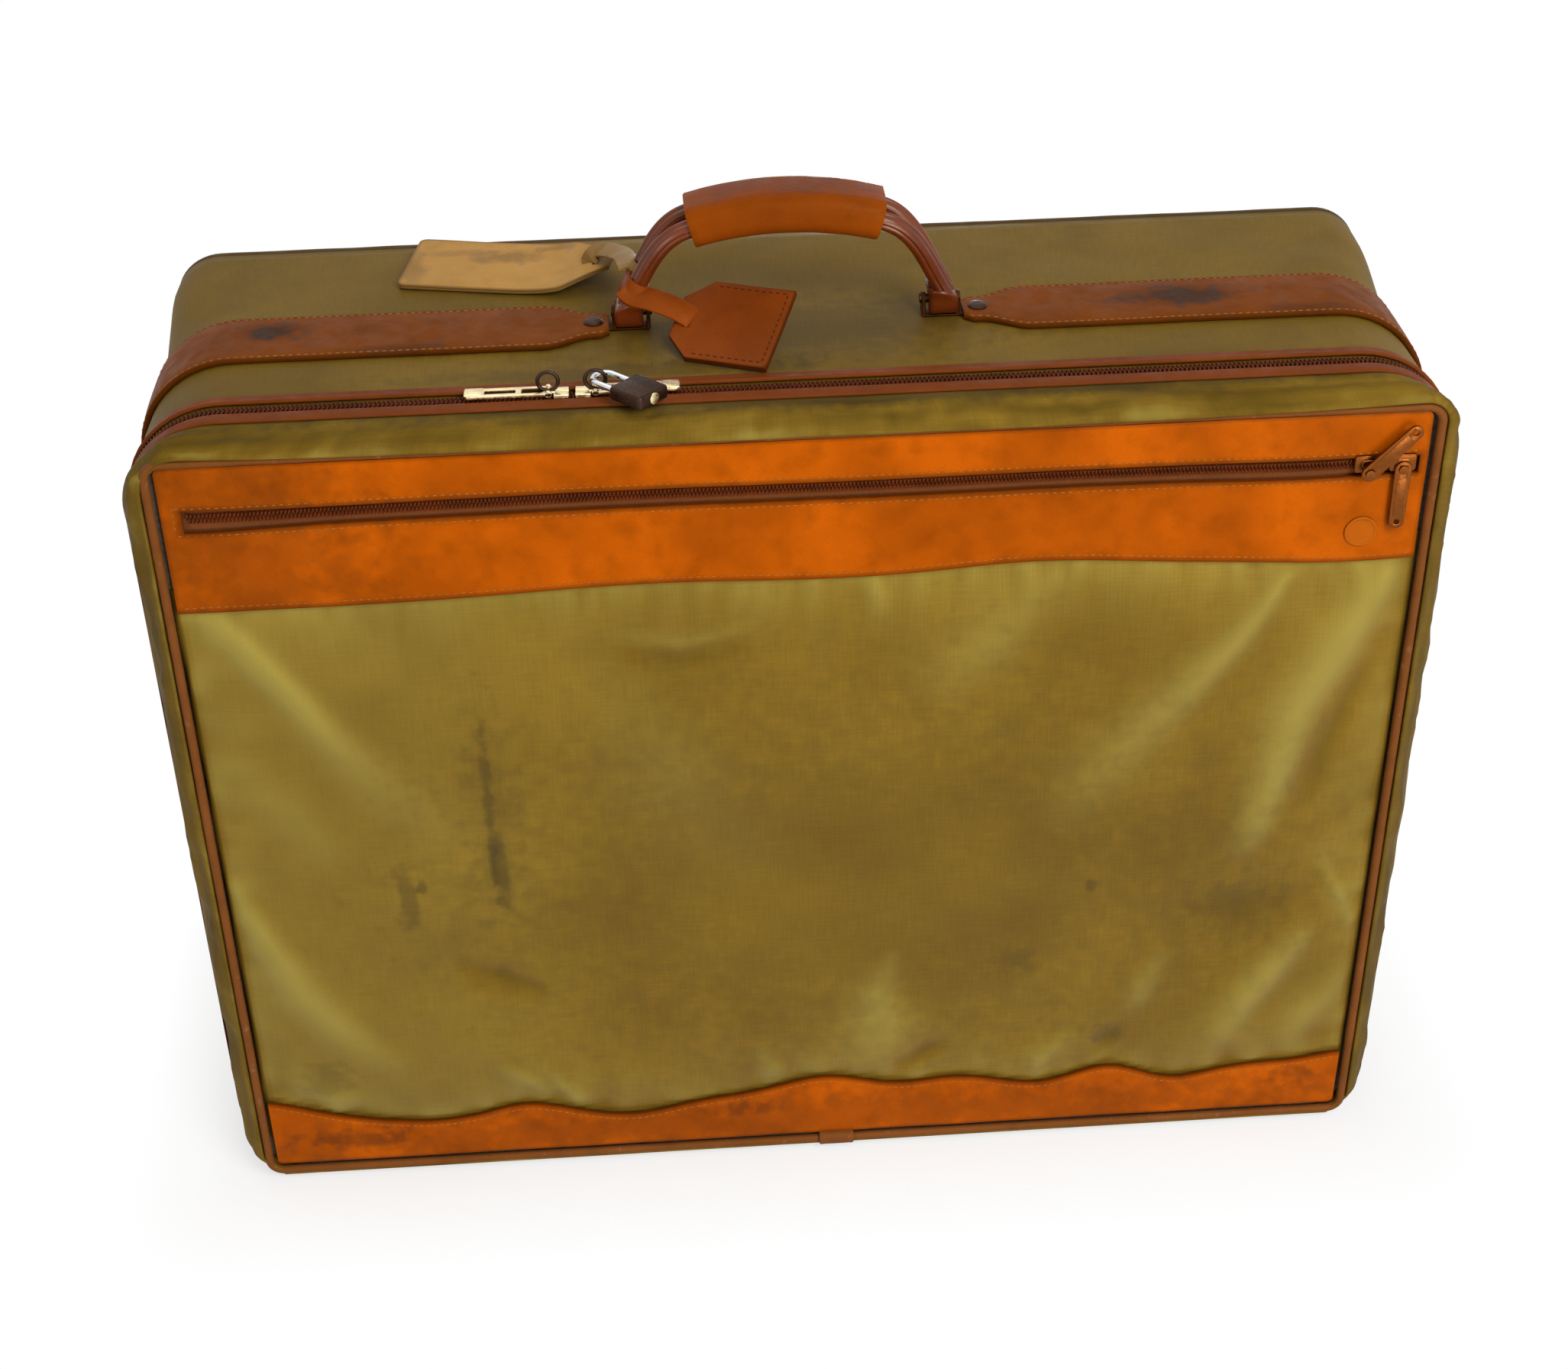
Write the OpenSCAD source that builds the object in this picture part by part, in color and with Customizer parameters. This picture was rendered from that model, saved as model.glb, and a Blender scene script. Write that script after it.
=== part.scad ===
// Soft-sided zip travel case: padded nylon over a fibre frame, leather trim, carrying handle,
// main zip with padlock, front pocket zip and two leather tags.
// +X is to the right, +Y to the back, +Z up. The origin is on the floor under the middle.

/* [Case] */
// Width across the sides
case_w = 660; // [600:5:720]
// Height without the handle
case_h = 486; // [440:2:540]
// Depth of the rear section, from the main zip to the back
rear_d = 194.6; // [150:0.2:230]
// Radius of the outer corners
corner_r = 50; // [46:1:58]
// Thickness of the padded nylon cover
cover_t = 2; // [1.6:0.1:3]
// Thickness of the fibre hoop that stiffens the rear section
hoop_t = 3; // [2:0.2:5]
// Thickness of the stiffening boards
board_t = 2.8; // [2:0.2:4]
// Thickness of the lining
lining_t = 1; // [0.8:0.1:1.5]
// Diameter of the piping round the back
back_piping_d = 7; // [6:0.5:9]

/* [Main zip] */
// Width of the slit between the two covers
zip_gap = 10; // [9:0.5:12]
// Width of the closed chain
chain_w = 6; // [5:0.2:6.4]
// Width of each zip tape
tape_w = 9.3; // [8:0.1:10]
// Thickness of a zip tape
tape_t = 0.8; // [0.6:0.1:1]
// Width of the leather welt along each side of the zip
welt_w = 9; // [7:0.5:11]
// Thickness of the leather welt
welt_t = 1.6; // [1:0.1:2]
// How far the zip runs round each bottom corner, in degrees
zip_wrap = 60; // [40:1:70]
// Place of the left slider's nose
left_slider_x = -118; // [-140:1:-114]
// Place of the right slider's nose
right_slider_x = -101; // [-104:1:-80]

/* [Lid] */
// Distance from the zip to the face of the lid board
panel_d = 22.7; // [20:0.1:30]
// Distance from the case side to the middle of the front piping
panel_side_inset = 17; // [14:0.5:24]
// Distance from the case top to the middle of the front piping
panel_top_inset = 14.5; // [12:0.5:20]
// Height of the lower run of front piping
panel_bottom_inset = 6.7; // [6.5:0.1:10]
// Radius of the front piping
piping_r = 4; // [3.5:0.1:5]
// Bend radius of the front piping at the corners
piping_bend_r = 16; // [12:1:24]
// Thickness of the leather bands
band_t = 2.2; // [1.8:0.1:3]
// Thickness of the pocket's nylon panel
pocket_t = 1.6; // [1.2:0.1:2]
// How far the pocket's nylon swells in front of its edges
pocket_crown = 6; // [3:0.5:8]

/* [Pocket zip] */
// Distance from the case top to the middle of the pocket zip
pocket_zip_drop = 43; // [40:1:50]
// Distance from the band's left edge to its window
window_left_margin = 7.7; // [6:0.1:40]
// Distance from the window to the band's right edge
window_right_margin = 1.7; // [1.5:0.1:6]
// Height of the window in the band
window_h = 11; // [10:0.5:14]
// Distance from the left pocket slider to the window's right end
pocket_left_run = 26; // [25:1:40]
// Distance from the right pocket slider to the window's right end
pocket_right_run = 8.5; // [8:0.5:9]
// Length of a pocket pull
pocket_pull_len = 33; // [26:1:36]
// Thickness of a pocket pull
pocket_pull_t = 1.5; // [1:0.1:2]
// Diameter of the leather disc
disc_d = 17; // [14:1:20]

/* [Handle] */
// Place of the handle from front to back
handle_y = -5; // [-15:1:5]
// Height of the handle's pins above the case
pin_rise = 9; // [9:0.5:12]
// Radius of a handle pin
pin_r = 2.5; // [2:0.1:3]
// Length of the leather grip
grip_len = 100; // [84:2:120]
// Radius of the grip's arch
grip_arch_r = 180; // [160:5:240]
// Width of the grip
grip_w = 34; // [32:1:38]
// Thickness of the grip
grip_t = 21; // [19:1:24]
// Bend radius of the cords between the grip and the ends
cord_bend_r = 40.5; // [36:0.5:46]
// Radius of a rolled leather cord
cord_r = 5.4; // [4.5:0.1:5.4]
// Half the distance between the cords in the grip
cord_spread = 9; // [8:0.5:9]
// Half the distance between the cords at the ends
cord_end_spread = 5.5; // [5.5:0.1:6]

/* [Straps] */
// Width of a top strap
strap_w = 48; // [40:1:52]
// Thickness of a top strap
strap_t = 3; // [2.6:0.1:4]
// Height at which a strap ends on the side
strap_foot = 60; // [52:2:120]
// Radius of a strap rivet's stem
rivet_r = 2; // [1.5:0.1:2.5]
// Radius of a strap rivet's head
rivet_head_r = 5; // [4:0.5:6]

/* [Padlock] */
// Radius of the shackle's bow
bow_r = 6; // [6:0.1:6.6]
// Radius of the shackle's rod
rod_r = 1.6; // [1.3:0.1:1.7]
// Width of the lock body
lock_w = 20; // [18:1:24]
// Length of the lock body
lock_len = 21; // [18:1:26]
// Thickness of the lock body
lock_t = 7.6; // [6.4:0.2:7.8]

/* [Tags] */
// Length of the name tag
name_tag_len = 112; // [90:2:120]
// Width of the name tag
name_tag_w = 52; // [40:2:56]
// Thickness of one leaf of the name tag
name_leaf_t = 1.2; // [1:0.1:1.6]
// Length of the brown tag
brown_tag_len = 55; // [45:1:58]
// Width of the brown tag
brown_tag_w = 52; // [40:2:54]
// Thickness of one leaf of the brown tag
brown_leaf_t = 1.6; // [1.2:0.1:2]

/* [Hidden] */
$fn = 96;

// Colours of the real materials
olive = "#7d7436";
pocket_olive = "#9a8a30";
tan_leather = "#b9651c";
brown_leather = "#7a4020";
pale_leather = "#c9985a";
dark_red = "#4a2016";
brass = "#d8bf7a";
copper = "#b8753c";
steel = "#c9ccd0";
bronze = "#453e38";
lining_tan = "#8d7a58";
board_grey = "#6c675f";

// Clearances: sewn or glued layers, loose fits, and parts that pass each other
seam = 0.05;
loose = 0.3;
pass = 0.6;
bore_gap = 0.06;

// Depths in front of the zip, from the lid board forward
zip_half = zip_gap / 2;
layer = 0.1;
shoulder_d = panel_d - 0.7;
side_d = shoulder_d - 7;
piping_d = panel_d + piping_r + loose;
edge_d = panel_d + 5.3;
fabric_d = panel_d + layer;
band_d = fabric_d + pocket_t + 0.5;
band_front_d = band_d + band_t;
pocket_tape_t = 0.8;
pocket_chain_d = fabric_d + pocket_tape_t;
pocket_chain_t = 3;
pocket_slider_d = pocket_chain_d + pocket_chain_t + loose;
pocket_slider_t = 2.2;
post_head_t = 0.8;
right_pull_d = pocket_slider_d + pocket_slider_t + 0.2;
right_head_d = right_pull_d + pocket_pull_t + layer;
left_pull_d = right_head_d + post_head_t + pass;
left_head_d = left_pull_d + pocket_pull_t + layer;
front_reach = left_head_d + post_head_t;

// The overall depth is centred on the origin
y_back = (rear_d + front_reach) / 2;
y_zip = y_back - rear_d;

// Outline of the front piping's middle line and of what it frames
panel_half_w = case_w / 2 - panel_side_inset;
panel_low = panel_bottom_inset;
panel_high = case_h - panel_top_inset;
inner_edge = piping_r + loose;
panel_edge = panel_half_w - inner_edge;
pocket_zip_z = case_h - pocket_zip_drop;
window_left = window_left_margin - panel_edge;
window_right = panel_edge - window_right_margin;
pocket_left_x = window_right - pocket_left_run;
pocket_right_x = window_right - pocket_right_run;

// The rear section's stack at the back, measured from the zip
back_piping_r = back_piping_d / 2;
cover_end = rear_d - back_piping_d;
hoop_start = zip_half + 8;
hoop_in = cover_t + seam;
hoop_out = hoop_in + hoop_t;
lining_back = cover_end - layer - board_t - layer;

// Handle: the grip's arch, the bends that run into the ends, and the pins
pin_z = case_h + pin_rise;
grip_angle = asin(grip_len / 2 / grip_arch_r);
end_rise = 8;
bend_z = pin_z + end_rise;
bend_x = (grip_arch_r - cord_bend_r) * sin(grip_angle);
arch_z = bend_z - (grip_arch_r - cord_bend_r) * cos(grip_angle);
end_x = bend_x + cord_bend_r;
end_w = 15;
ear_t = 2;
ear_gap = 0.5;
ear_r = 5.5;
plate_t = 1.5;
plate_half_w = 9;
pin_len = end_w + 2 * (ear_gap + ear_t) + 1;
strap_tip_x = end_x + pin_len / 2 + 1.2;
rivet_x = strap_tip_x + 8;
plate_end_x = rivet_x + 13;

// Main zip chain and sliders, heights above the case top
chain_half = chain_w / 2;
chain_top = 0.8;
slider_lift = chain_top + loose;
slider_t = 1.6;
slider_len = 7.6;
slider_half_w = chain_half + 1.6;
hook_x = 3;
hook_lift = slider_lift + 1.8;
hook_r = 0.9;
ring_r = 5;
ring_wire_r = 1;
ring_lift = hook_lift + ring_r + ring_wire_r - 0.7;
pull_half_w = slider_half_w - 0.2;
pull_leg = 1.8;
pull_t = 1.8;
pull_len = 41;

// Padlock: the bow is centred on the ring's wire and the lock lies towards the front
lock_turn = -45;
lock_start = bow_r * 2;
leg_len = lock_start + 11;
ring_centre = [right_slider_x + hook_x, y_zip, case_h + ring_lift];

// Tags: where each lies and which way it points
name_tag_at = [-151, 68, case_h + 0.4];
name_tag_yaw = -12;
name_tag_tilt = 4;
name_tag_left = -48;
brown_tag_at = [-60, -21, case_h + 12];
brown_tag_yaw = -23;
brown_tag_roll = 23;
tag_strap_t = 1.2;

// A smooth bump of height 1, used for wavy leather edges and soft folds
function bump(x, middle, width) = exp(-pow((x - middle) / width, 2));

// Waves of the bands' free edges, each a place, a height and a width
pocket_band_drop = 93.8;
pocket_band_slope = 0.0185;
bottom_band_h = 44;
end_wave_x = panel_half_w + 7;
pocket_waves = [[150, 6.5, 90], [0, -1.5, 60]];
bottom_waves = [[-end_wave_x, 13, 50], [-112, -9, 45], [8, 7, 38], [170, 4, 40], [217, -6, 30],
    [end_wave_x, 6, 45]];
function wavy(x, waves) = [for (w = waves) w[1] * bump(x, w[0], w[2])] * [for (w = waves) 1];

// Height of the pocket band's lower edge and of the bottom band's upper edge
function pocket_band_low(x) = case_h - pocket_band_drop - pocket_band_slope * x + wavy(x, pocket_waves);
function bottom_band_high(x) = bottom_band_h + wavy(x, bottom_waves);

// A rounded rectangle, drawn as width by height
module rounded_rect(half_w, low, high, r) {
    translate([-half_w + r, low]) square([2 * (half_w - r), high - low]);
    translate([-half_w, low + r]) square([2 * half_w, high - low - 2 * r]);
    for (x = [-half_w + r, half_w - r], z = [low + r, high - r]) translate([x, z]) circle(r);
}

// A flat upright plate between two depths, measured from the zip to the back
module upright(from, to) {
    translate([0, y_zip + to, 0]) rotate([90, 0, 0]) linear_extrude(to - from) children();
}

// The case's outline, drawn in by an inset
module outline(inset) {
    rounded_rect(case_w / 2 - inset, inset, case_h - inset, corner_r - inset);
}

// A hoop of the case's outline between two insets and two depths
module hoop(outer, inner, from, to) {
    difference() {
        upright(from, to) outline(outer);
        upright(from - 1, to + 1) outline(inner);
    }
}

// A quarter or less of a ring round a corner, drawn by a profile [height, depth]
module corner_run(profile, z, start, turn) {
    translate([case_w / 2 - corner_r, 0, z]) rotate([90, 0, 0]) rotate([0, 0, start])
        rotate_extrude(angle = turn) polygon([for (p = profile) [corner_r + p[0], -(y_zip + p[1])]]);
}

// A strip round the case between two heights above its cover and two depths, open along the bottom
module zip_strip(low, high, from, to) {
    reach = 2 * corner_r;
    middle_x = case_w / 2 - corner_r;
    difference() {
        hoop(-high, -low, from, to);
        upright(from - 1, to + 1) polygon([[-middle_x, corner_r], [middle_x, corner_r],
            [middle_x + reach * cos(zip_wrap), corner_r - reach * sin(zip_wrap)],
            [-middle_x - reach * cos(zip_wrap), corner_r - reach * sin(zip_wrap)]]);
    }
}

// The same strip on the rear section, where toward is 1, or mirrored on the lid, where it is -1
module zip_side(toward, low, high, near, far) {
    zip_strip(low, high, toward > 0 ? near : -far, toward > 0 ? far : -near);
}

// A round cord bent round a rounded rectangle
module cord_loop(half_w, low, high, bend_r, wire_r, y) {
    for (x = [-half_w, half_w]) translate([x, y, low + bend_r])
        cylinder(r = wire_r, h = high - low - 2 * bend_r);
    for (z = [low, high]) translate([-(half_w - bend_r), y, z]) rotate([0, 90, 0])
        cylinder(r = wire_r, h = 2 * (half_w - bend_r));
    for (quarter = [0 : 3]) translate([
        (quarter == 0 || quarter == 3 ? 1 : -1) * (half_w - bend_r), y,
        quarter < 2 ? high - bend_r : low + bend_r])
        rotate([90, 0, 0]) rotate([0, 0, 90 * quarter])
            rotate_extrude(angle = 90) translate([bend_r, 0]) circle(wire_r);
}

// Triangles between rings of points, closed into a torus or left open at the ends
function ring_faces(side_count, ring_count, closed) = [
    for (j = [0 : ring_count - (closed ? 1 : 2)], i = [0 : side_count - 1])
        let (k = (j + 1) % ring_count, n = (i + 1) % side_count,
            a = j * side_count + i, b = j * side_count + n,
            c = k * side_count + n, d = k * side_count + i)
        each [[a, b, c], [a, c, d]]];

// Points round a rounded rectangle that stands at a depth in front of the zip. Where facing is 1 the
// flats between them touch the true arc from outside, and where it is 0 the points lie on the arc
corner_steps = 8;
corner_step = 90 / corner_steps;
corner_turns = concat([0], [for (step = [0.5 : corner_steps - 0.5]) step * corner_step], [90]);
function lid_ring(half_w, low, high, r, d, facing) = [
    for (quarter = [0 : 3], turn = corner_turns)
        let (a = 90 * quarter + turn,
            reach = facing == 1 && turn > 0 && turn < 90 ? r / cos(corner_step / 2) : r,
            x = (quarter == 0 || quarter == 3 ? 1 : -1) * (half_w - r),
            z = quarter < 2 ? high - r : low + r)
        [x + reach * cos(a), y_zip - d, z + reach * sin(a)]];

// The lid's side, from the zip to the front piping, drawn in by an inset
edge_out = piping_r + loose + cover_t;
function lid_half_w(d) = lookup(d, [[side_d, case_w / 2], [shoulder_d, case_w / 2 - 3],
    [edge_d, panel_half_w + edge_out]]);
function lid_low(d) = lookup(d, [[side_d, 0], [edge_d, panel_low - edge_out]]);
function lid_high(d) = lookup(d, [[side_d, case_h], [shoulder_d, case_h - 3.5],
    [edge_d, panel_high + edge_out]]);
function lid_r(d) = lookup(d, [[side_d, corner_r], [shoulder_d, corner_r - 14],
    [edge_d, piping_bend_r + edge_out]]);
function lid_section(d, inset, facing = 0) = lid_ring(lid_half_w(d) - inset, lid_low(d) + inset,
    lid_high(d) - inset, lid_r(d) - inset, d, facing);

// A shell of the lid's side between two insets, through a list of depths
module lid_shell(depths, outer, inner) {
    last = len(depths) - 1;
    rings = concat([for (d = depths) lid_section(d, outer)],
        [for (i = [0 : last]) lid_section(depths[last - i], inner, 1)]);
    polyhedron(points = [for (ring = rings) each ring],
        faces = ring_faces(len(rings[0]), len(rings), true));
}

// Rear section

module gusset_cover() {
    color(olive) difference() {
        hoop(0, cover_t, zip_half, cover_end);
        rivet_stems(bore_gap);
    }
}

module frame_hoop() {
    color(board_grey) difference() {
        hoop(hoop_in, hoop_out, hoop_start, cover_end - layer);
        rivet_stems(bore_gap);
    }
}

module back_board() {
    color(board_grey) upright(lining_back + layer, cover_end - layer) outline(hoop_out + seam);
}

module back_panel() {
    color(olive) upright(cover_end, rear_d) outline(back_piping_d + loose);
}

module back_piping() {
    color(brown_leather) cord_loop(case_w / 2 - back_piping_r, back_piping_r, case_h - back_piping_r,
        corner_r - back_piping_r, back_piping_r, y_zip + rear_d - back_piping_r);
}

module rear_lining() {
    color(lining_tan) {
        hoop(hoop_out + seam, hoop_out + seam + lining_t, hoop_start, lining_back);
        upright(lining_back - lining_t, lining_back) outline(hoop_out + seam);
    }
}

// One side of the main zip; toward is 1 for the rear section and -1 for the lid
module zip_welt(toward) {
    color(brown_leather) zip_side(toward, seam, seam + welt_t, zip_half, zip_half + welt_w);
}

module zip_tape(toward) {
    tape_top = -cover_t - layer;
    start = chain_half + 0.2;
    color(dark_red) zip_side(toward, tape_top - tape_t, tape_top, start, start + tape_w);
}

// Half of the closed chain, with a raised middle
module zip_chain(toward) {
    chain_low = -cover_t - layer - tape_t + loose;
    step = 0.6;
    near = 0.25;
    color(dark_red) {
        zip_side(toward, chain_low, chain_top - step, near, chain_half);
        zip_side(toward, chain_top - step - seam, chain_top, near + step, chain_half - step);
    }
}

// Folded cloth at the bottom, on which the lid turns
module hinge_strip() {
    flap = 12;
    slit = zip_half - 0.2;
    bend = 90 - zip_wrap - 2;
    low = -cover_t - seam;
    profile = [[-layer, -slit], [-layer, slit], [low, slit], [low, flap], [low - 1, flap],
        [low - 1, -flap], [low, -flap], [low, -slit]];
    color(olive) {
        translate([-(case_w / 2 - corner_r), 0, 0]) rotate([90, 0, 90])
            linear_extrude(case_w - 2 * corner_r) polygon([for (p = profile) [y_zip + p[1], -p[0]]]);
        for (side = [0, 1]) mirror([side, 0, 0]) corner_run(profile, corner_r, -90, bend);
    }
}

// Top strap with a narrowed tip over the handle's plate, bent down over the side
module strap() {
    half_w = strap_w / 2;
    middle = handle_y - y_zip;
    neck = 13.5;
    tip = [[strap_tip_x, 9], [strap_tip_x + 2, 12], [rivet_x + 5, neck], [rivet_x + 25, half_w]];
    spare = 5;
    difference() {
        hoop(-seam - strap_t, -seam, middle - half_w, middle + half_w);
        translate([-case_w, handle_y - strap_w, -case_h]) cube([case_w + strap_tip_x, 2 * strap_w, 3 * case_h]);
        translate([-case_w, handle_y - strap_w, -case_h]) cube([2 * case_w, 2 * strap_w, case_h + strap_foot]);
        for (side = [0, 1]) translate([0, handle_y, case_h - spare]) mirror([0, side, 0])
            linear_extrude(strap_t + 2 * spare) polygon(concat(tip, [[rivet_x + 25, half_w + spare],
                [strap_tip_x - spare, half_w + spare], [strap_tip_x - spare, tip[0][1]]]));
        translate([strap_tip_x - 1, handle_y - plate_half_w - loose, case_h])
            cube([plate_end_x + loose - strap_tip_x + 1, 2 * (plate_half_w + loose), plate_t + 2 * seam]);
        rivet_stems(bore_gap);
    }
}

module strap_left() {
    color(brown_leather) mirror([1, 0, 0]) strap();
}

module strap_right() {
    color(brown_leather) strap();
}

// The stems of both strap rivets, wider and longer by a gap where they cut a bore
module rivet_stems(gap) {
    for (x = [-rivet_x, rivet_x]) translate([x, handle_y, case_h - hoop_out - gap])
        cylinder(r = rivet_r + gap, h = hoop_out + gap + seam + strap_t + 1);
}

module strap_rivets() {
    head = [[0, 0], [rivet_head_r, 0], [rivet_head_r, 0.7], [rivet_head_r * 0.8, 1.5],
        [rivet_head_r * 0.45, 1.9], [0, 2]];
    color(bronze) {
        rivet_stems(0);
        for (x = [-rivet_x, rivet_x]) translate([x, handle_y, case_h + 2 * seam + strap_t])
            rotate_extrude() polygon(head);
    }
}

// Plate under the strap's tip with two ears for the handle's pin
module handle_bracket(side) {
    color(bronze) mirror([side < 0 ? 1 : 0, 0, 0]) difference() {
        union() {
            translate([end_x - end_w / 2 - ear_gap - ear_t, handle_y - plate_half_w, case_h + seam])
                cube([plate_end_x - end_x + end_w / 2 + ear_gap + ear_t, 2 * plate_half_w, plate_t]);
            for (x = [end_x - end_w / 2 - ear_gap - ear_t, end_x + end_w / 2 + ear_gap])
                translate([x, handle_y, pin_z]) {
                    rotate([0, 90, 0]) cylinder(r = ear_r, h = ear_t);
                    translate([0, -ear_r, case_h + seam + plate_t / 2 - pin_z])
                        cube([ear_t, 2 * ear_r, pin_rise - plate_t / 2 - seam]);
                }
        }
        translate([0, handle_y, pin_z]) rotate([0, 90, 0]) cylinder(r = pin_r + 0.02, h = plate_end_x);
        rivet_stems(bore_gap);
    }
}

module handle_bracket_left() {
    handle_bracket(-1);
}

module handle_bracket_right() {
    handle_bracket(1);
}

module handle_pins() {
    color(bronze) for (x = [-end_x, end_x]) translate([x, handle_y, pin_z]) rotate([0, 90, 0])
        cylinder(r = pin_r, h = pin_len, center = true);
}

// Lid

module lid_gusset() {
    color(olive) lid_shell([zip_half, side_d, shoulder_d, edge_d], 0, cover_t);
}

module lid_board() {
    inset = cover_t + 0.5;
    round_r = lid_r(panel_d - board_t) - inset;
    color(board_grey) upright(-panel_d, -panel_d + board_t) rounded_rect(lid_half_w(panel_d) - inset,
        lid_low(panel_d) + inset, lid_high(panel_d) - inset, round_r);
}

// Lining of the lid: one tray with a rim towards the zip
module lid_lining() {
    rim_d = zip_half + 8;
    sheet_d = panel_d - board_t - layer;
    wall = cover_t + loose;
    inner = wall + lining_t;
    rings = [lid_section(sheet_d, wall), lid_section(side_d, wall), lid_section(rim_d, wall),
        lid_section(rim_d, inner), lid_section(side_d, inner), lid_section(sheet_d - lining_t, inner)];
    n = len(rings[0]);
    last = len(rings) - 1;
    color(lining_tan) polyhedron(points = [for (ring = rings) each ring], faces = concat(
        [for (f = ring_faces(n, len(rings), false)) [f[2], f[1], f[0]]],
        [[for (k = [0 : n - 1]) k]], [[for (k = [n - 1 : -1 : 0]) last * n + k]]));
}

module front_piping() {
    color(brown_leather) cord_loop(panel_half_w, panel_low, panel_high, piping_bend_r, piping_r,
        y_zip - piping_d);
}

// Leather sleeve over the joint in the piping
module piping_sleeve() {
    sleeve_x = 5;
    sleeve_len = 20;
    color(tan_leather) translate([sleeve_x, y_zip - piping_d, panel_low]) rotate([0, 90, 0]) difference() {
        cylinder(r = piping_r + loose - seam, h = sleeve_len);
        translate([0, 0, -1]) cylinder(r = piping_r + seam, h = sleeve_len + 2);
    }
}

// What the front piping frames
module panel_outline() {
    rounded_rect(panel_edge, panel_low + inner_edge, panel_high - inner_edge, piping_bend_r - inner_edge);
}

edge_step = 12;
edge_xs = [for (x = [-panel_half_w : edge_step : panel_half_w]) x];

module pocket_band() {
    color(tan_leather) upright(-band_front_d, -band_d) difference() {
        intersection() {
            panel_outline();
            polygon(concat([for (x = edge_xs) [x, pocket_band_low(x)]],
                [[panel_half_w, pocket_band_low(panel_half_w)], [panel_half_w, case_h],
                [-panel_half_w, case_h]]));
        }
        translate([window_left, pocket_zip_z - window_h / 2])
            square([window_right - window_left, window_h]);
    }
}

module bottom_band() {
    color(tan_leather) upright(-band_front_d, -band_d) intersection() {
        panel_outline();
        polygon(concat([for (x = edge_xs) [x, bottom_band_high(x)]],
            [[panel_half_w, bottom_band_high(panel_half_w)], [panel_half_w, 0], [-panel_half_w, 0]]));
    }
}

// Nylon of the front pocket: held flat at its edges, swelling between, with slack folds at the right
pocket_cols = 30;
pocket_rows = 18;
pocket_half_w = panel_edge - 0.2;
pocket_low_z = 30;
pocket_high_z = case_h - 85;
function pocket_fold(x, z) = 1.6 * bump(x - 0.45 * z, 120, 26) - 1.2 * bump(x - 0.45 * z, 168, 20)
    + 1.1 * bump(x + 0.6 * z, -60, 22) - 0.9 * bump(x + 0.6 * z, -10, 20);
function pocket_swell(u, v) =
    let (free = (1 - pow(abs(u), 6)) * max(0, 1 - pow(abs(v) / 0.9, 4)),
        x = u * pocket_half_w, z = (pocket_low_z + pocket_high_z) / 2 + v * (pocket_high_z - pocket_low_z) / 2)
    free * (pocket_crown + pocket_fold(x, z));
function pocket_point(col, row) =
    let (u = 2 * col / pocket_cols - 1, v = 2 * row / pocket_rows - 1)
    [u * pocket_half_w, y_zip - fabric_d - pocket_t - pocket_swell(u, v),
        (pocket_low_z + pocket_high_z) / 2 + v * (pocket_high_z - pocket_low_z) / 2];

module pocket_fabric() {
    n = pocket_cols + 1;
    front = [for (row = [0 : pocket_rows], col = [0 : pocket_cols]) pocket_point(col, row)];
    rim = concat([for (col = [0 : pocket_cols]) col],
        [for (row = [1 : pocket_rows]) row * n + pocket_cols],
        [for (col = [pocket_cols - 1 : -1 : 0]) pocket_rows * n + col],
        [for (row = [pocket_rows - 1 : -1 : 1]) row * n]);
    back = concat([for (i = rim) [front[i][0], y_zip - fabric_d, front[i][2]]],
        [[0, y_zip - fabric_d, (pocket_low_z + pocket_high_z) / 2]]);
    base = len(front);
    middle = base + len(rim);
    skin = [for (row = [0 : pocket_rows - 1], col = [0 : pocket_cols - 1])
        let (a = row * n + col) each [[a, a + n, a + n + 1], [a, a + n + 1, a + 1]]];
    side = [for (i = [0 : len(rim) - 1]) let (k = (i + 1) % len(rim))
        each [[rim[i], rim[k], base + k], [rim[i], base + k, base + i], [base + i, base + k, middle]]];
    color(pocket_olive) polyhedron(points = concat(front, back), faces = concat(skin, side));
}

module pocket_zip_tape() {
    half_h = 13;
    margin = 1;
    color(copper) upright(-fabric_d - pocket_tape_t, -fabric_d)
        translate([window_left - margin, pocket_zip_z - half_h])
            square([panel_edge - 0.2 - window_left + margin, 2 * half_h]);
}

module pocket_zip_chain() {
    half_h = 3;
    round_in = 0.7;
    margin = 1;
    color(dark_red) translate([window_left + margin, y_zip, pocket_zip_z]) rotate([90, 0, 90])
        linear_extrude(window_right - loose - window_left - margin) polygon([for (p = [
            [0, -half_h], [0, half_h], [pocket_chain_t - round_in, half_h], [pocket_chain_t, half_h - round_in],
            [pocket_chain_t, round_in - half_h], [pocket_chain_t - round_in, -half_h]])
            [-pocket_chain_d - p[0], p[1]]]);
}

module leather_disc() {
    disc_t = 1.1;
    color(tan_leather) translate([pocket_left_x + 1, y_zip - band_front_d, pocket_zip_z - 39])
        rotate([90, 0, 0]) cylinder(d = disc_d, h = disc_t);
}

// Handle

// A point of the handle's middle line, by its angle from upright
function handle_point(turn) = abs(turn) <= grip_angle
    ? [grip_arch_r * sin(turn), arch_z + grip_arch_r * cos(turn)]
    : [sign(turn) * bend_x + cord_bend_r * sin(turn), bend_z + cord_bend_r * cos(turn)];
function ease(t) = t * t * (3 - 2 * t);
function cord_offset(turn) = cord_spread - (cord_spread - cord_end_spread)
    * ease(max(0, (abs(turn) - grip_angle) / (90 - grip_angle)));
cord_sides = 16;
cord_turns = concat([for (i = [0 : 9]) -90 + i * (90 - grip_angle) / 10],
    [for (i = [0 : 8]) -grip_angle + i * grip_angle / 4],
    [for (i = [1 : 10]) grip_angle + i * (90 - grip_angle) / 10]);
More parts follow.
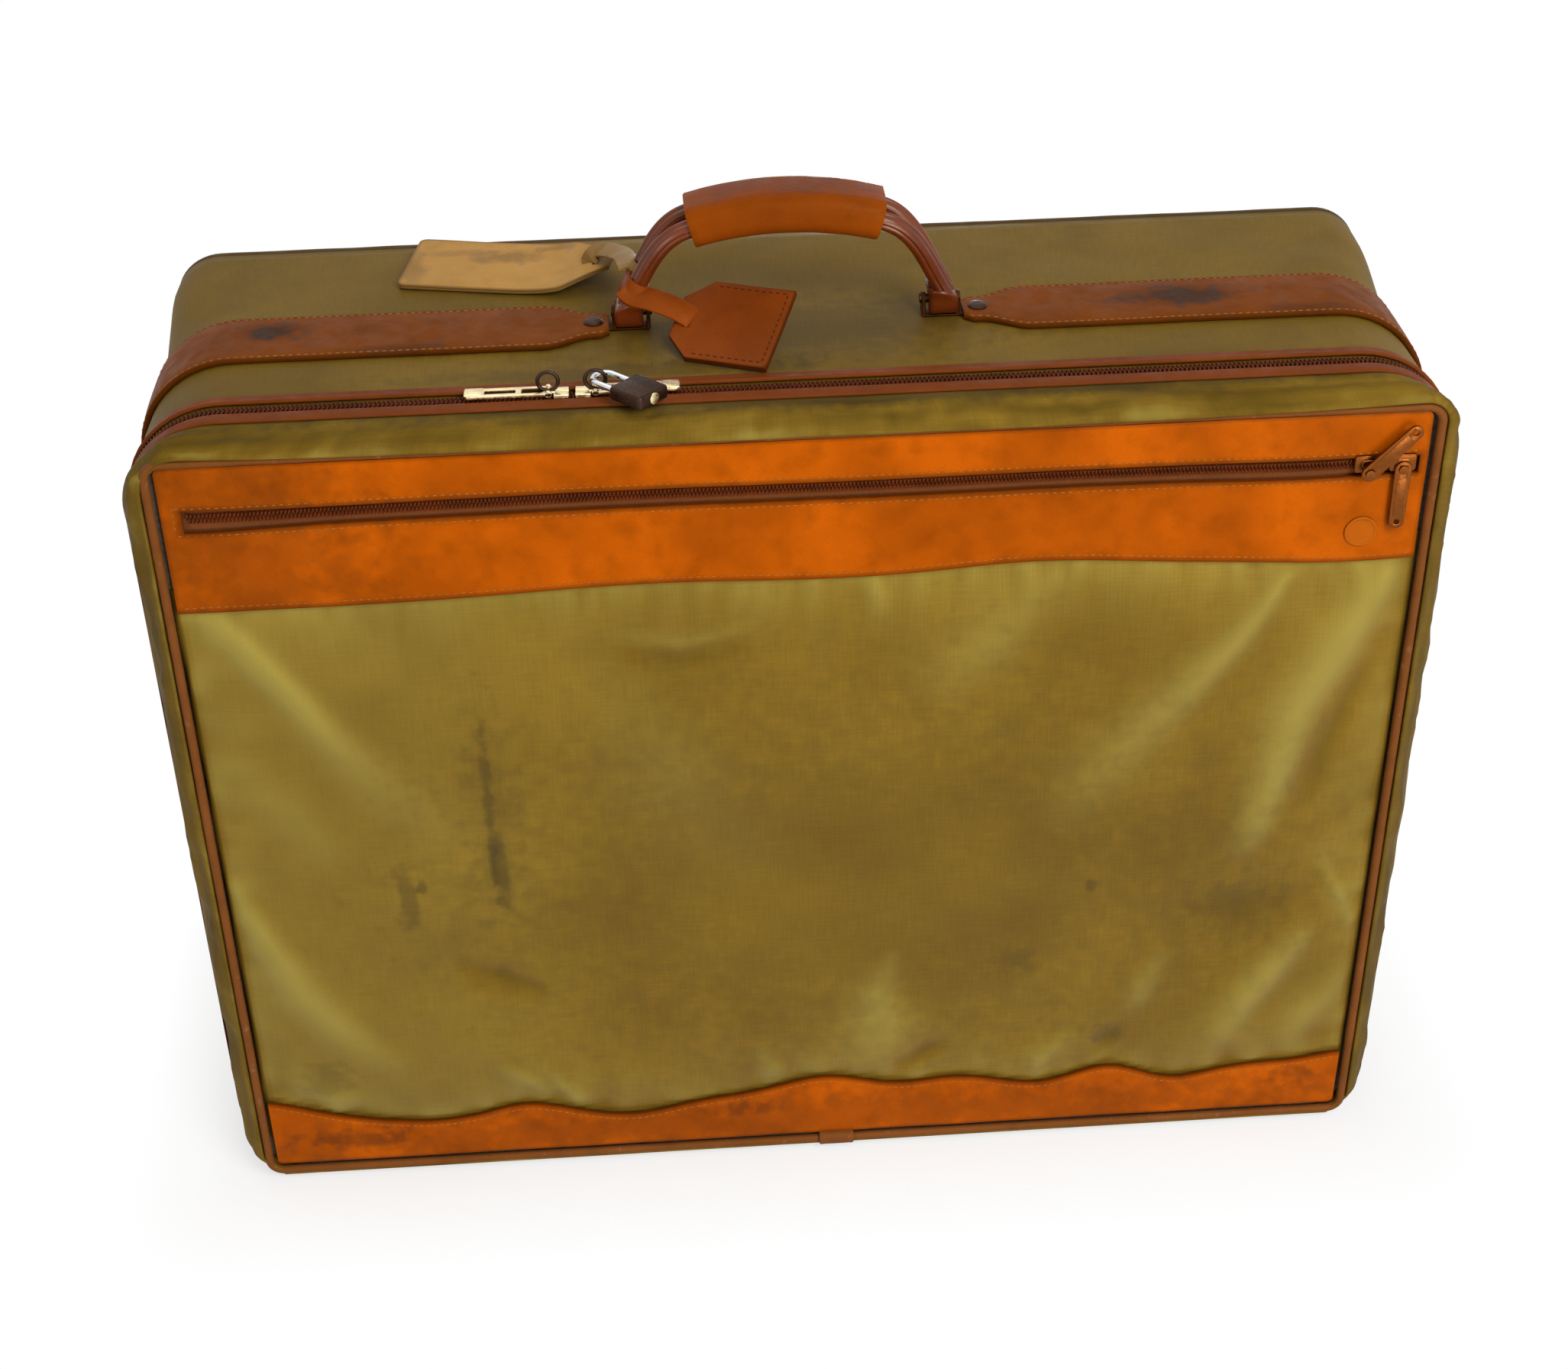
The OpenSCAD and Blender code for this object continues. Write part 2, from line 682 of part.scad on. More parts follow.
// A sewn seam runs as a groove on the upper side of the cord
function cord_radius(k) = k == 3 || k == 5 ? cord_r * 0.86 : cord_r;
function cord_ring(turn, side) = let (p = handle_point(turn), y = handle_y + side * cord_offset(turn))
    [for (k = [0 : cord_sides - 1]) let (a = 360 * k / cord_sides, r = cord_radius(k))
        [p[0] + r * sin(a) * sin(turn), y - r * cos(a), p[1] + r * sin(a) * cos(turn)]];

module handle_cord(side) {
    rings = [for (turn = cord_turns) cord_ring(turn, side)];
    last = len(rings) - 1;
    color(brown_leather) polyhedron(points = [for (ring = rings) each ring], faces = concat(
        ring_faces(cord_sides, len(rings), false),
        [[for (k = [cord_sides - 1 : -1 : 0]) k]],
        [[for (k = [0 : cord_sides - 1]) last * cord_sides + k]]));
}

module handle_cord_front() {
    handle_cord(-1);
}

module handle_cord_back() {
    handle_cord(1);
}

// Leather grip, bent to the arch, with a channel for each cord
module handle_grip() {
    round_r = 8.5;
    channel_r = cord_r + 0.5;
    color(tan_leather) translate([0, handle_y, arch_z]) rotate([90, 0, 0]) rotate([0, 0, 90 - grip_angle])
        rotate_extrude(angle = 2 * grip_angle) difference() {
            translate([grip_arch_r - grip_t / 2, 0])
                rotate(-90) rounded_rect(grip_w / 2, 0, grip_t, round_r);
            for (y = [-cord_spread, cord_spread]) translate([grip_arch_r, y]) circle(channel_r);
        }
}

// Leather end that gathers the two cords and turns on the pin
module handle_end(side) {
    barrel_r = 7;
    block_low = 4.5;
    block_half_w = cord_end_spread + cord_r + 0.3;
    color(brown_leather) translate([side * end_x, handle_y, pin_z]) difference() {
        union() {
            rotate([0, 90, 0]) cylinder(r = barrel_r, h = end_w, center = true);
            translate([-end_w / 2, -block_half_w, block_low])
                cube([end_w, 2 * block_half_w, end_rise - layer - block_low]);
        }
        rotate([0, 90, 0]) cylinder(r = pin_r + bore_gap, h = end_w + 2, center = true);
    }
}

module handle_end_left() {
    handle_end(-1);
}

module handle_end_right() {
    handle_end(1);
}

// Main zip sliders, pulls and padlock

// Places a slider's own frame: +X away from its nose, the case top at 0
module at_slider(side) {
    translate([side < 0 ? left_slider_x : right_slider_x, y_zip, case_h])
        mirror([side < 0 ? 1 : 0, 0, 0]) children();
}

// Slider with a guide behind the chain, a tongue, a cross pin and a lock ring
module main_slider(side) {
    tongue_half_w = 1.7;
    tongue_len = 5.5;
    guide_low = -0.8;
    guide_t = 1.2;
    color(brass) at_slider(side) {
        translate([0.6 - slider_len, -slider_half_w, slider_lift])
            cube([slider_len, 2 * slider_half_w, slider_t]);
        translate([0.6 - slider_len, slider_half_w - guide_t, guide_low])
            cube([slider_len, guide_t, slider_lift + slider_t / 2 - guide_low]);
        translate([0.5, -tongue_half_w, slider_lift])
            cube([tongue_len, 2 * tongue_half_w, slider_t + 0.7]);
        translate([hook_x, 0, hook_lift]) rotate([90, 0, 0])
            cylinder(r = hook_r, h = 2 * pull_half_w, center = true);
        translate([hook_x, 0, ring_lift]) rotate([90, 0, 0])
            rotate_extrude() translate([ring_r, 0]) circle(ring_wire_r);
    }
}

module main_slider_left() {
    main_slider(-1);
}

module main_slider_right() {
    main_slider(1);
}

// Long pull with an open fork over the ring and a window in its blade
module main_pull(side) {
    fork_len = 13;
    bar = 3;
    blade_window = 15;
    blade_half_w = 1.9;
    color(brass) at_slider(side) translate([hook_x, 0, hook_lift]) difference() {
        union() {
            translate([0, -pull_half_w, -pull_t / 2]) cube([pull_len, 2 * pull_half_w, pull_t]);
            rotate([90, 0, 0]) cylinder(r = pull_t, h = 2 * pull_half_w, center = true);
        }
        translate([-pull_t - 1, pull_leg - pull_half_w, -pull_t - 1])
            cube([fork_len + pull_t + 1, 2 * (pull_half_w - pull_leg), 2 * pull_t + 2]);
        translate([fork_len + bar, -blade_half_w, -pull_t])
            cube([blade_window, 2 * blade_half_w, 2 * pull_t]);
        rotate([90, 0, 0]) cylinder(r = hook_r + bore_gap, h = 2 * pull_half_w + 2, center = true);
    }
}

module main_pull_left() {
    main_pull(-1);
}

module main_pull_right() {
    main_pull(1);
}

// Places the padlock's own frame: +X along the shackle's legs, +Y across
module at_padlock() {
    translate(ring_centre + [ring_r, 0, 0]) rotate([0, 0, lock_turn]) children();
}

// Both legs of the shackle, wider by a gap where they cut a bore
module shackle_legs(start, end, gap) {
    for (y = [-bow_r, bow_r]) translate([start, y, 0]) rotate([0, 90, 0])
        cylinder(r = rod_r + gap, h = end - start);
}

module padlock_shackle() {
    color(steel) at_padlock() {
        rotate([0, 0, 90]) rotate_extrude(angle = 180) translate([bow_r, 0]) circle(rod_r);
        shackle_legs(0, leg_len, 0);
    }
}

module padlock_body() {
    round_r = 2.5;
    color(bronze) at_padlock() difference() {
        translate([lock_start, 0, -lock_t / 2]) linear_extrude(lock_t)
            rotate(-90) rounded_rect(lock_w / 2, 0, lock_len, round_r);
        shackle_legs(lock_start - 1, leg_len + 1, 0.1);
        plug_shape(0.1);
    }
}

// Round key plug in the end of the lock
module plug_shape(gap) {
    plug_r = 3;
    plug_len = 7;
    translate([lock_start + lock_len - plug_len - gap, 0, 0]) rotate([0, 90, 0])
        cylinder(r = plug_r + gap, h = plug_len + 0.4 + 2 * gap);
}

module padlock_plug() {
    color(brass) at_padlock() plug_shape(0);
}

// Pocket zip sliders and pulls

// Slider plate with a headed post on which the pull turns
module pocket_slider(x, head_d) {
    half_h = 4.6;
    half_w = 7;
    round_r = 2;
    color(copper) translate([x, y_zip, pocket_zip_z]) {
        translate([0, -pocket_slider_d, 0]) rotate([90, 0, 0]) linear_extrude(pocket_slider_t)
            rounded_rect(half_w, -half_h, half_h, round_r);
        translate([0, -pocket_slider_d, -post_drop]) rotate([90, 0, 0])
            cylinder(r = post_r, h = head_d - pocket_slider_d + post_head_t / 2);
        translate([0, -head_d, -post_drop]) rotate([90, 0, 0]) cylinder(r = post_r + 0.9, h = post_head_t);
    }
}

post_r = 1.6;
post_drop = 3;

module pocket_slider_left() {
    pocket_slider(pocket_left_x, left_head_d);
}

module pocket_slider_right() {
    pocket_slider(pocket_right_x, right_head_d);
}

// Flat pull with a hole for the post and a hole near its tip, drawn hanging and then turned
module pocket_pull(x, back_d, turn) {
    root_half_w = 4;
    tip_half_w = 3.2;
    tip_hole_r = 1.4;
    color(copper) translate([x, y_zip - back_d, pocket_zip_z - post_drop]) rotate([0, turn, 0])
        rotate([90, 0, 0]) linear_extrude(pocket_pull_t) difference() {
            polygon(concat(
                [for (a = [0 : 15 : 180]) root_half_w * [cos(a), sin(a)]],
                [for (a = [180 : 15 : 360]) tip_half_w * [cos(a), sin(a) + 1] - [0, pocket_pull_len]]));
            circle(post_r + 0.1);
            translate([0, tip_half_w - pocket_pull_len]) circle(tip_hole_r);
        }
}

module pocket_pull_left() {
    pocket_pull(pocket_left_x, left_pull_d, -137);
}

module pocket_pull_right() {
    pocket_pull(pocket_right_x, right_pull_d, 0);
}

// Tags

module at_name_tag() {
    translate(name_tag_at) rotate([0, 0, name_tag_yaw]) translate([0, -name_tag_w / 2, 0])
        rotate([name_tag_tilt, 0, 0]) translate([0, name_tag_w / 2, 0]) children();
}

// One leaf of the name tag, narrowed to its slotted end
module name_leaf() {
    half_w = name_tag_w / 2;
    right = name_tag_left + name_tag_len;
    neck = 9;
    taper = 24;
    round_r = 4;
    slot_w = 3.4;
    slot_h = 11;
    linear_extrude(name_leaf_t) difference() {
        union() {
            polygon([[name_tag_left + round_r, -half_w], [right - taper, -half_w], [right, -neck],
                [right, neck], [right - taper, half_w], [name_tag_left + round_r, half_w]]);
            translate([name_tag_left, round_r - half_w]) square([2 * round_r, 2 * (half_w - round_r)]);
            for (y = [round_r - half_w, half_w - round_r])
                translate([name_tag_left + round_r, y]) circle(round_r);
        }
        translate([right - 10, -slot_h / 2]) square([slot_w, slot_h]);
    }
}

module name_tag_back() {
    color(pale_leather) at_name_tag() name_leaf();
}

module name_tag_top() {
    color(pale_leather) at_name_tag() translate([0, 0, name_leaf_t + seam]) name_leaf();
}

module at_brown_tag() {
    translate(brown_tag_at) rotate([0, 0, brown_tag_yaw]) rotate([brown_tag_roll, 0, 0]) children();
}

// One leaf of the brown tag with its cut corners at the strap's end
module brown_leaf() {
    half_w = brown_tag_w / 2;
    start = 4;
    cut = 13;
    slot_w = 3.4;
    slot_h = 13;
    linear_extrude(brown_leaf_t) difference() {
        polygon([[start, half_w - cut], [start + cut, half_w], [start + brown_tag_len, half_w],
            [start + brown_tag_len, -half_w], [start + cut, -half_w], [start, cut - half_w]]);
        translate([start + 5, -slot_h / 2]) square([slot_w, slot_h]);
    }
}

module brown_tag_top() {
    color(brown_leather) at_brown_tag() translate([0, 0, seam]) brown_leaf();
}

module brown_tag_back() {
    color(brown_leather) at_brown_tag() translate([0, 0, -seam - brown_leaf_t]) brown_leaf();
}

// A collar round both cords of the handle, at an angle from upright
module cord_collar(turn, width) {
    inner_r = cord_r + 0.5;
    at_cords(turn) translate([-width / 2, 0, 0]) rotate([90, 0, 90]) linear_extrude(width) difference() {
        stadium(cord_offset(turn), inner_r + tag_strap_t);
        stadium(cord_offset(turn), inner_r);
    }
}

// Places a frame on the handle's middle line: +X along the cords, +Y to the back
module at_cords(turn) {
    p = handle_point(turn);
    translate([p[0], handle_y, p[1]]) rotate([0, turn, 0]) children();
}

module stadium(half_len, r) {
    translate([-half_len, -r]) square([2 * half_len, 2 * r]);
    for (x = [-half_len, half_len]) translate([x, 0]) circle(r);
}

// A small flat end of a tag's strap inside the collar's wall; toward is 1 at the back, -1 in front
module collar_end(turn, width, toward) {
    wall = cord_offset(turn) + cord_r + 0.5 + tag_strap_t / 2;
    end_t = tag_strap_t * 0.8;
    at_cords(turn) translate([-width / 2, toward * wall - end_t / 2, -1]) cube([width, end_t, 2]);
}

module name_tag_strap() {
    turn = -64;
    width = 7;
    right = name_tag_left + name_tag_len;
    color(pale_leather) {
        cord_collar(turn, width);
        hull() {
            collar_end(turn, width, 1);
            at_name_tag() translate([right - 8, -width / 2, 2 * name_leaf_t + seam + loose])
                cube([6, width, tag_strap_t]);
        }
    }
}

module brown_tag_strap() {
    turn = -78;
    width = 8;
    tail_w = 12;
    color(brown_leather) {
        cord_collar(turn, width);
        hull() {
            collar_end(turn, width, -1);
            at_brown_tag() translate([3, -tail_w / 2, seam + brown_leaf_t + loose])
                cube([8, tail_w, tag_strap_t]);
        }
    }
}

// Draw every piece, or the one that is named
gusset_cover();
frame_hoop();
back_board();
back_panel();
back_piping();
rear_lining();
zip_welt(1);  // zip_welt_rear
zip_tape(1);  // zip_tape_rear
zip_chain(1);  // zip_chain_rear
hinge_strip();
strap_left();
strap_right();
strap_rivets();
handle_bracket_left();
handle_bracket_right();
handle_pins();
lid_gusset();
lid_board();
lid_lining();
front_piping();
piping_sleeve();
zip_welt(-1);  // zip_welt_lid
zip_tape(-1);  // zip_tape_lid
zip_chain(-1);  // zip_chain_lid
pocket_fabric();
pocket_band();
bottom_band();
pocket_zip_tape();
pocket_zip_chain();
leather_disc();
handle_grip();
handle_cord_front();
handle_cord_back();
handle_end_left();
handle_end_right();
main_slider_left();
main_slider_right();
main_pull_left();
main_pull_right();
padlock_shackle();
padlock_body();
padlock_plug();
pocket_slider_left();
pocket_slider_right();
pocket_pull_left();
pocket_pull_right();
name_tag_top();
name_tag_back();
name_tag_strap();
brown_tag_top();
brown_tag_back();
brown_tag_strap();
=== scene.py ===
"""Looks of a soft-sided travel case: woven nylon, leather trim, zips, padlock and tags.

The file is laid out as an add-on and run as a script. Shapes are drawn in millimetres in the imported
model's own frame, and become metres when a piece is finished."""

import math

import bmesh
import bpy
from mathutils import Matrix, Vector, noise


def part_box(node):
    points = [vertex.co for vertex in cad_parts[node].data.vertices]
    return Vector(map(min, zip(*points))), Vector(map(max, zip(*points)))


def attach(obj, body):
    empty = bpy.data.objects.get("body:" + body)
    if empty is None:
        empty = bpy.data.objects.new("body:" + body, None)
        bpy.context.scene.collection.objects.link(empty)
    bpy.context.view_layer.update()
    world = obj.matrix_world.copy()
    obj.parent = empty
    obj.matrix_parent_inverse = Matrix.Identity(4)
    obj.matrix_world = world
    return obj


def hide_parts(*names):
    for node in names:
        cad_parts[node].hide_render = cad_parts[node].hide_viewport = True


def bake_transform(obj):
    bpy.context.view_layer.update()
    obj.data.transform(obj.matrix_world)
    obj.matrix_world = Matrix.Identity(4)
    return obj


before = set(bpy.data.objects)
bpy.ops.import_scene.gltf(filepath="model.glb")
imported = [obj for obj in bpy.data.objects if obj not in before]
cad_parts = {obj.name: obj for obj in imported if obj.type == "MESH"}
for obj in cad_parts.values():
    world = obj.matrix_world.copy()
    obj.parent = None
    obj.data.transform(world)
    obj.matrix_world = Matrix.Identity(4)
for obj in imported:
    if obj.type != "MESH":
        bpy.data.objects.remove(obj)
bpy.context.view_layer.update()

bl_info = {
    "name": "Soft Travel Case",
    "version": (1, 0, 0),
    "blender": (4, 5, 0),
    "location": "3D View > Sidebar > Travel Case",
    "description": "Builds the nylon, leather, zips and metalwork of a soft-sided travel case",
    "category": "Object",
}

# A millimetre in metres, and how close two points lie that are one, in millimetres
MM = 0.001
WELD = 0.001

# Directions: the case's front looks along -Y
FRONT = Vector((0, -1, 0))
BACK = Vector((0, 1, 0))
UP = Vector((0, 0, 1))
RIGHT = Vector((1, 0, 0))


def box_mm(node):
    """A node's lowest and highest corner, in millimetres."""
    low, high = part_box(node)
    return low / MM, high / MM


def middle_mm(node):
    """The middle of a node's box, in millimetres."""
    low, high = box_mm(node)
    return (low + high) / 2


# The case: outline, plane of the main zip, and where the covers end
COVER_LOW, COVER_HIGH = box_mm("gusset_cover")
CASE_HALF_W = COVER_HIGH.x
CASE_H = COVER_HIGH.z
CASE_CORNER_R = 50
COVER_T = 2
ZIP_Y = (COVER_LOW.y + box_mm("lid_gusset")[1].y) / 2
ZIP_WRAP = math.radians(60)
BACK_Y = box_mm("back_panel")[1].y
BACK_PIPING_R = (BACK_Y - COVER_HIGH.y) / 2

# The lid's front: piping, leather bands with their stitches, and the pocket's nylon
PIPING_LOW, PIPING_HIGH = box_mm("front_piping")
PIPING_R = 2.9
PIPING_Y = (PIPING_LOW.y + PIPING_HIGH.y) / 2
PIPING_HALF_W = PIPING_HIGH.x - 1.2
PIPING_FOOT = PIPING_LOW.z + PIPING_R + 0.6
PIPING_TOP = PIPING_HIGH.z - PIPING_R - 0.3
PIPING_BEND_R = 8
BAND_LOW, BAND_HIGH = box_mm("pocket_band")
BAND_FRONT = BAND_LOW.y
BAND_T = BAND_HIGH.y - BAND_LOW.y
BAND_TOP = BAND_HIGH.z + 3
BAND_HALF_W = BAND_HIGH.x + 2.5
BAND_CORNER_R = 3.4
BOTTOM_BAND_LOW = box_mm("bottom_band")[0].z
STITCH_INSET = 3.2
THREAD_HALF_W = 0.34
THREAD_HALF_T = 0.3
POCKET_LOW, POCKET_HIGH = box_mm("pocket_fabric")
POCKET_BACK_Y = POCKET_HIGH.y
POCKET_T = 1.6

# The pocket zip and the window it shows through
POCKET_CHAIN_LOW, POCKET_CHAIN_HIGH = box_mm("pocket_zip_chain")
POCKET_ZIP = middle_mm("pocket_zip_chain")
WINDOW_LEFT = POCKET_CHAIN_LOW.x - 1
WINDOW_RIGHT = POCKET_CHAIN_HIGH.x + 0.3
WINDOW_HALF_H = 4.9

# The handle: pins, arch of the grip and bends of the cords
PIN = middle_mm("handle_pins")
PIN_END_X = box_mm("handle_pins")[1].x - 0.4
HANDLE_Y = PIN.y
END_X = middle_mm("handle_end_right").x + 2.6
GRIP_ARCH_R = 180
GRIP_ANGLE = math.asin(47.8 / GRIP_ARCH_R)
GRIP_HALF_W = (box_mm("handle_grip")[1].y - box_mm("handle_grip")[0].y) / 2
GRIP_T = 21
ARCH_Z = box_mm("handle_grip")[1].z - GRIP_ARCH_R - GRIP_T / 2
CORD_R = 4.6
CORD_END_SLOPE = math.radians(58)
CORD_END_Z = PIN.z + 4.5
CORD_SPREAD = 10.4
CORD_END_SPREAD = 5

# The straps over the top
STRAP_TIP_X = box_mm("strap_right")[0].x
STRAP_FOOT = box_mm("strap_right")[0].z
STRAP_HALF_W = (box_mm("strap_right")[1].y - box_mm("strap_right")[0].y) / 2
STRAP_T = box_mm("strap_right")[1].z - CASE_H

# The tags: where each lies and which way it points
NAME_TAG_AT = Vector((-151, 68, CASE_H + 0.4))
NAME_TAG_YAW = math.radians(-12)
NAME_TAG_TILT = math.radians(4)
NAME_TAG_LEFT = -48
NAME_TAG_LEN = 112
NAME_TAG_HALF_W = 26
NAME_LEAF_T = 1.2
BROWN_TAG_AT = Vector((-60, -21, CASE_H + 12))
BROWN_TAG_YAW = math.radians(-23)
BROWN_TAG_ROLL = math.radians(23)
BROWN_TAG_START = 4
BROWN_TAG_LEN = 56
BROWN_TAG_HALF_W = 26
BROWN_LEAF_T = 1.6

# Main sliders, in a slider's own frame: +X away from its nose, the case top at 0
LEFT_NOSE_X = -118
RIGHT_NOSE_X = -101
HOOK_X = 3
HOOK_LIFT = 2.9
RING_R = 5
RING_WIRE_R = 1
RING_LIFT = 8.2
PULL_LEN = 41
PULL_HALF_W = 4.4
PULL_T = 1.8

# The padlock, in its own frame: +X along the shackle's legs
LOCK_AT = Vector((RIGHT_NOSE_X + HOOK_X + RING_R, ZIP_Y, CASE_H + RING_LIFT))
LOCK_TURN = math.radians(-45)
BOW_R = 6
ROD_R = 1.6
LOCK_START = 12
LOCK_LEN = 21
LOCK_HALF_W = 10
LOCK_T = 7.6

# The camera, fitted to the photograph's corners of the case
CAMERA_AT = Vector((-68.8, -1140.5, 1019.9))
CAMERA_TURN = math.radians(-3.224)
CAMERA_TILT = math.radians(33.735)
CAMERA_ROLL = math.radians(-1.119)
CAMERA_LENS = 55.39


def colour(hex_value):
    """A linear RGB colour from an sRGB hex value."""
    parts = [int(hex_value[i:i + 2], 16) / 255 for i in (1, 3, 5)]
    return [c / 12.92 if c <= 0.04045 else ((c + 0.055) / 1.055) ** 2.4 for c in parts]


def colour_prop(name, hex_value, description):
    """A colour that a user may change."""
    return bpy.props.FloatVectorProperty(
        name=name, description=description, default=colour(hex_value), subtype="COLOR", size=3, min=0,
        max=1)


def length_prop(name, length_mm, description):
    """A length that a user may change, given here in millimetres."""
    return bpy.props.FloatProperty(
        name=name, description=description, default=length_mm * MM, unit="LENGTH", min=0.0001, precision=5)


class TravelCaseSizes(bpy.types.PropertyGroup):
    """Sizes of the soft and sewn detail."""

    cover_slack: length_prop("Cover slack", 1.3, "How far the nylon round the sides waves")
    pocket_crown: length_prop("Pocket crown", 6.2, "How far the pocket's nylon swells")
    stitch: length_prop("Stitch", 2.5, "Length of a stitch")
    stitch_step: length_prop("Stitch step", 3.9, "Distance from one stitch to the next")
    coil_pitch: length_prop("Coil pitch", 2.2, "Distance from one turn of the main zip to the next")
    pocket_coil_pitch: length_prop("Pocket coil pitch", 1.9, "The same on the pocket zip")
    thread: length_prop("Thread spacing", 1.1, "Spacing of the nylon's threads, coarser than real to show")
    grain: length_prop("Leather grain", 1.1, "Width of the leather's grain, coarser than real to show")


class TravelCaseColours(bpy.types.PropertyGroup):
    """Colours of the finishes."""

    nylon: colour_prop("Nylon", "#695018", "Cover round the sides")
    nylon_light: colour_prop("Nylon light", "#785d1e", "Cleaner parts of the cover")
    pocket: colour_prop("Pocket nylon", "#6e531a", "Front pocket")
    pocket_light: colour_prop("Pocket nylon light", "#7f621f", "Cleaner parts of the pocket")
    # Painted sheen, laid on the nylon where its fold attribute is high
    nylon_fold_sheen: colour_prop("Worn nylon", "#998840", "Painted sheen along fold ridges")
    dirt: colour_prop("Dirt", "#3a2e1c", "Ground-in dirt on nylon")
    tan: colour_prop("Tan leather", "#a64b02", "Bands")
    grip: colour_prop("Grip leather", "#863d07", "Handle grip")
    strap: colour_prop("Strap leather", "#743a08", "Top straps")
    cord: colour_prop("Cord leather", "#5c2408", "Handle cords and ends")
    piping: colour_prop("Piping leather", "#75441e", "Front piping")
    # The back piping is the piping leather coloured darker, as painted shade
    back_piping: colour_prop("Back piping", "#48361c", "Back piping")
    welt: colour_prop("Welt leather", "#743814", "Welts of the main zip")
    tag: colour_prop("Tag leather", "#7a370c", "Brown tag and its strap")
    pale: colour_prop("Pale leather", "#b98a48", "Name tag")
    pale_strap: colour_prop("Pale strap", "#93703c", "Name tag's strap")
    tape: colour_prop("Zip tape", "#643217", "Main zip tapes")
    pocket_tape: colour_prop("Pocket tape", "#7e4214", "Pocket zip tape")
    coil: colour_prop("Zip coil", "#5e2509", "Zip coils")
    brass: colour_prop("Pale brass", "#ecd9ac", "Main sliders and pulls")
    copper: colour_prop("Copper brass", "#7c451c", "Pocket sliders and pulls")
    steel: colour_prop("Chrome steel", "#d3d6d9", "Shackle")
    bronze: colour_prop("Bronze", "#412f25", "Padlock, rings, pins and rivets")
    dark_bronze: colour_prop("Dark bronze", "#4a2710", "Brackets at the handle's ends")
    lining: colour_prop("Lining", "#8d7a58", "Lining cloth")
    board: colour_prop("Fibreboard", "#6c5c48", "Stiffening boards")
    thread: colour_prop("Thread", "#a4682a", "Band stitching")
    disc: colour_prop("Disc leather", "#ae5508", "Bare disc on the band")
    dark_thread: colour_prop("Dark thread", "#4a1e08", "Tag stitching")
    floor: colour_prop("Floor", "#b0afad", "Studio floor")


def chosen_mm(name):
    """A size that a user may change, in millimetres."""
    return getattr(bpy.context.scene.travel_case_sizes, name) / MM


# Shapes

# Distance to an edge that a shape without dark edges is given, in millimetres
NO_RIM = 10.0

# Rings round a sheet's middle end at this share of its outline, within a reach in millimetres
INNER_SHARE = 0.03
INNER_REACH = 40


def bump(x, middle, width):
    """A smooth bump of height 1."""
    return math.exp(-((x - middle) / width) ** 2)


def ease(x):
    """A smooth step from 0 to 1."""
    x = min(1.0, max(0.0, x))
    return x * x * (3 - 2 * x)


def wave(x, y, z, size):
    """Smooth noise from -1 to 1 whose waves are about that long."""
    return noise.noise(Vector((x, y, z)) / size)


def grid(u_count, v_count, place, size=(1, 1), rim=None, fold=None):
    """A grid bent into shape: place(u, v) gives each point, for whole steps u and v. Its UV map is in
    metres over a size in millimetres. rim gives a point's distance to an edge, fold its height on a fold
    with painted light added, which the nylon's finish lays as painted sheen where high and painted
    shade where low."""
    bm = bmesh.new()
    uv = bm.loops.layers.uv.new("UVMap")
    edge = bm.verts.layers.float.new("rim")
    height = bm.verts.layers.float.new("fold")
    bmesh.ops.create_grid(bm, x_segments=u_count, y_segments=v_count, size=0.5)
    steps = {v: (round((v.co.x + 0.5) * u_count), round((v.co.y + 0.5) * v_count)) for v in bm.verts}
    for face in bm.faces:
        for loop in face.loops:
            u, v = steps[loop.vert]
            loop[uv].uv = (u / u_count * size[0] * MM, v / v_count * size[1] * MM)
    for vert, (u, v) in steps.items():
        vert.co = place(u, v)
        vert[edge] = rim(u, v) if rim else NO_RIM
        vert[height] = fold(u, v) if fold else 0.0
    return bm


def weld(bm):
    """Joins points that lie on each other."""
    bmesh.ops.remove_doubles(bm, verts=bm.verts, dist=WELD)


def turn_out(bm, way):
    """Turns all faces over if they look against way, a direction for a face's middle."""
    bm.normal_update()
    if sum(f.normal.dot(way(f.calc_center_median())) * f.calc_area() for f in bm.faces) < 0:
        bmesh.ops.reverse_faces(bm, faces=bm.faces)


def close_ends(bm):
    """Fills open ends and makes a closed shell face outwards."""
    open_edges = [e for e in bm.edges if e.is_boundary]
    if open_edges:
        bmesh.ops.holes_fill(bm, edges=open_edges, sides=0)
    bmesh.ops.recalc_face_normals(bm, faces=bm.faces)


def fill_middle(bm, centre):
    """Closes the small ring that rows of points leave round a sheet's middle."""
    ring = [e for e in bm.edges if e.is_boundary and (e.verts[0].co - centre).xz.length < INNER_REACH]
    bmesh.ops.holes_fill(bm, edges=ring, sides=0)


def join(bm, other):
    """Adds another shape to a shape."""
    mesh = bpy.data.meshes.new("joining")
    other.to_mesh(mesh)
    other.free()
    bm.from_mesh(mesh)
    bpy.data.meshes.remove(mesh)


def sweep(frames, profile, size=(1, 1), rim=None, loop=False):
    """A closed profile carried along frames, each an origin, a sideways and an upward direction.
    profile(i) gives the points of ring i. The ends are closed unless the frames make a loop."""
    last = len(frames) - 1
    rings = [profile(i) for i in range(last + 1)]
    sides = len(rings[0])

    def place(i, j):
        origin, side, up = frames[i % last] if loop else frames[i]
        a, b = rings[i % last if loop else i][j % sides]
        return origin + a * side + b * up

    bm = grid(last, sides, place, size, rim)
    weld(bm)
    close_ends(bm)
    return bm


def circle(r, count, ridge=lambda turn: 1):
    """Points round a circle, whose radius ridge(angle) may change."""
    turns = [2 * math.pi * k / count for k in range(count)]
    return [(r * ridge(t) * math.cos(t), r * ridge(t) * math.sin(t)) for t in turns]


def arc(r, first, last, count, x=0, y=0):
    """Points along an arc round (x, y), from its first to its last angle in degrees."""
    turns = [math.radians(first + (last - first) * k / count) for k in range(count + 1)]
    return [(x + r * math.cos(t), y + r * math.sin(t)) for t in turns]


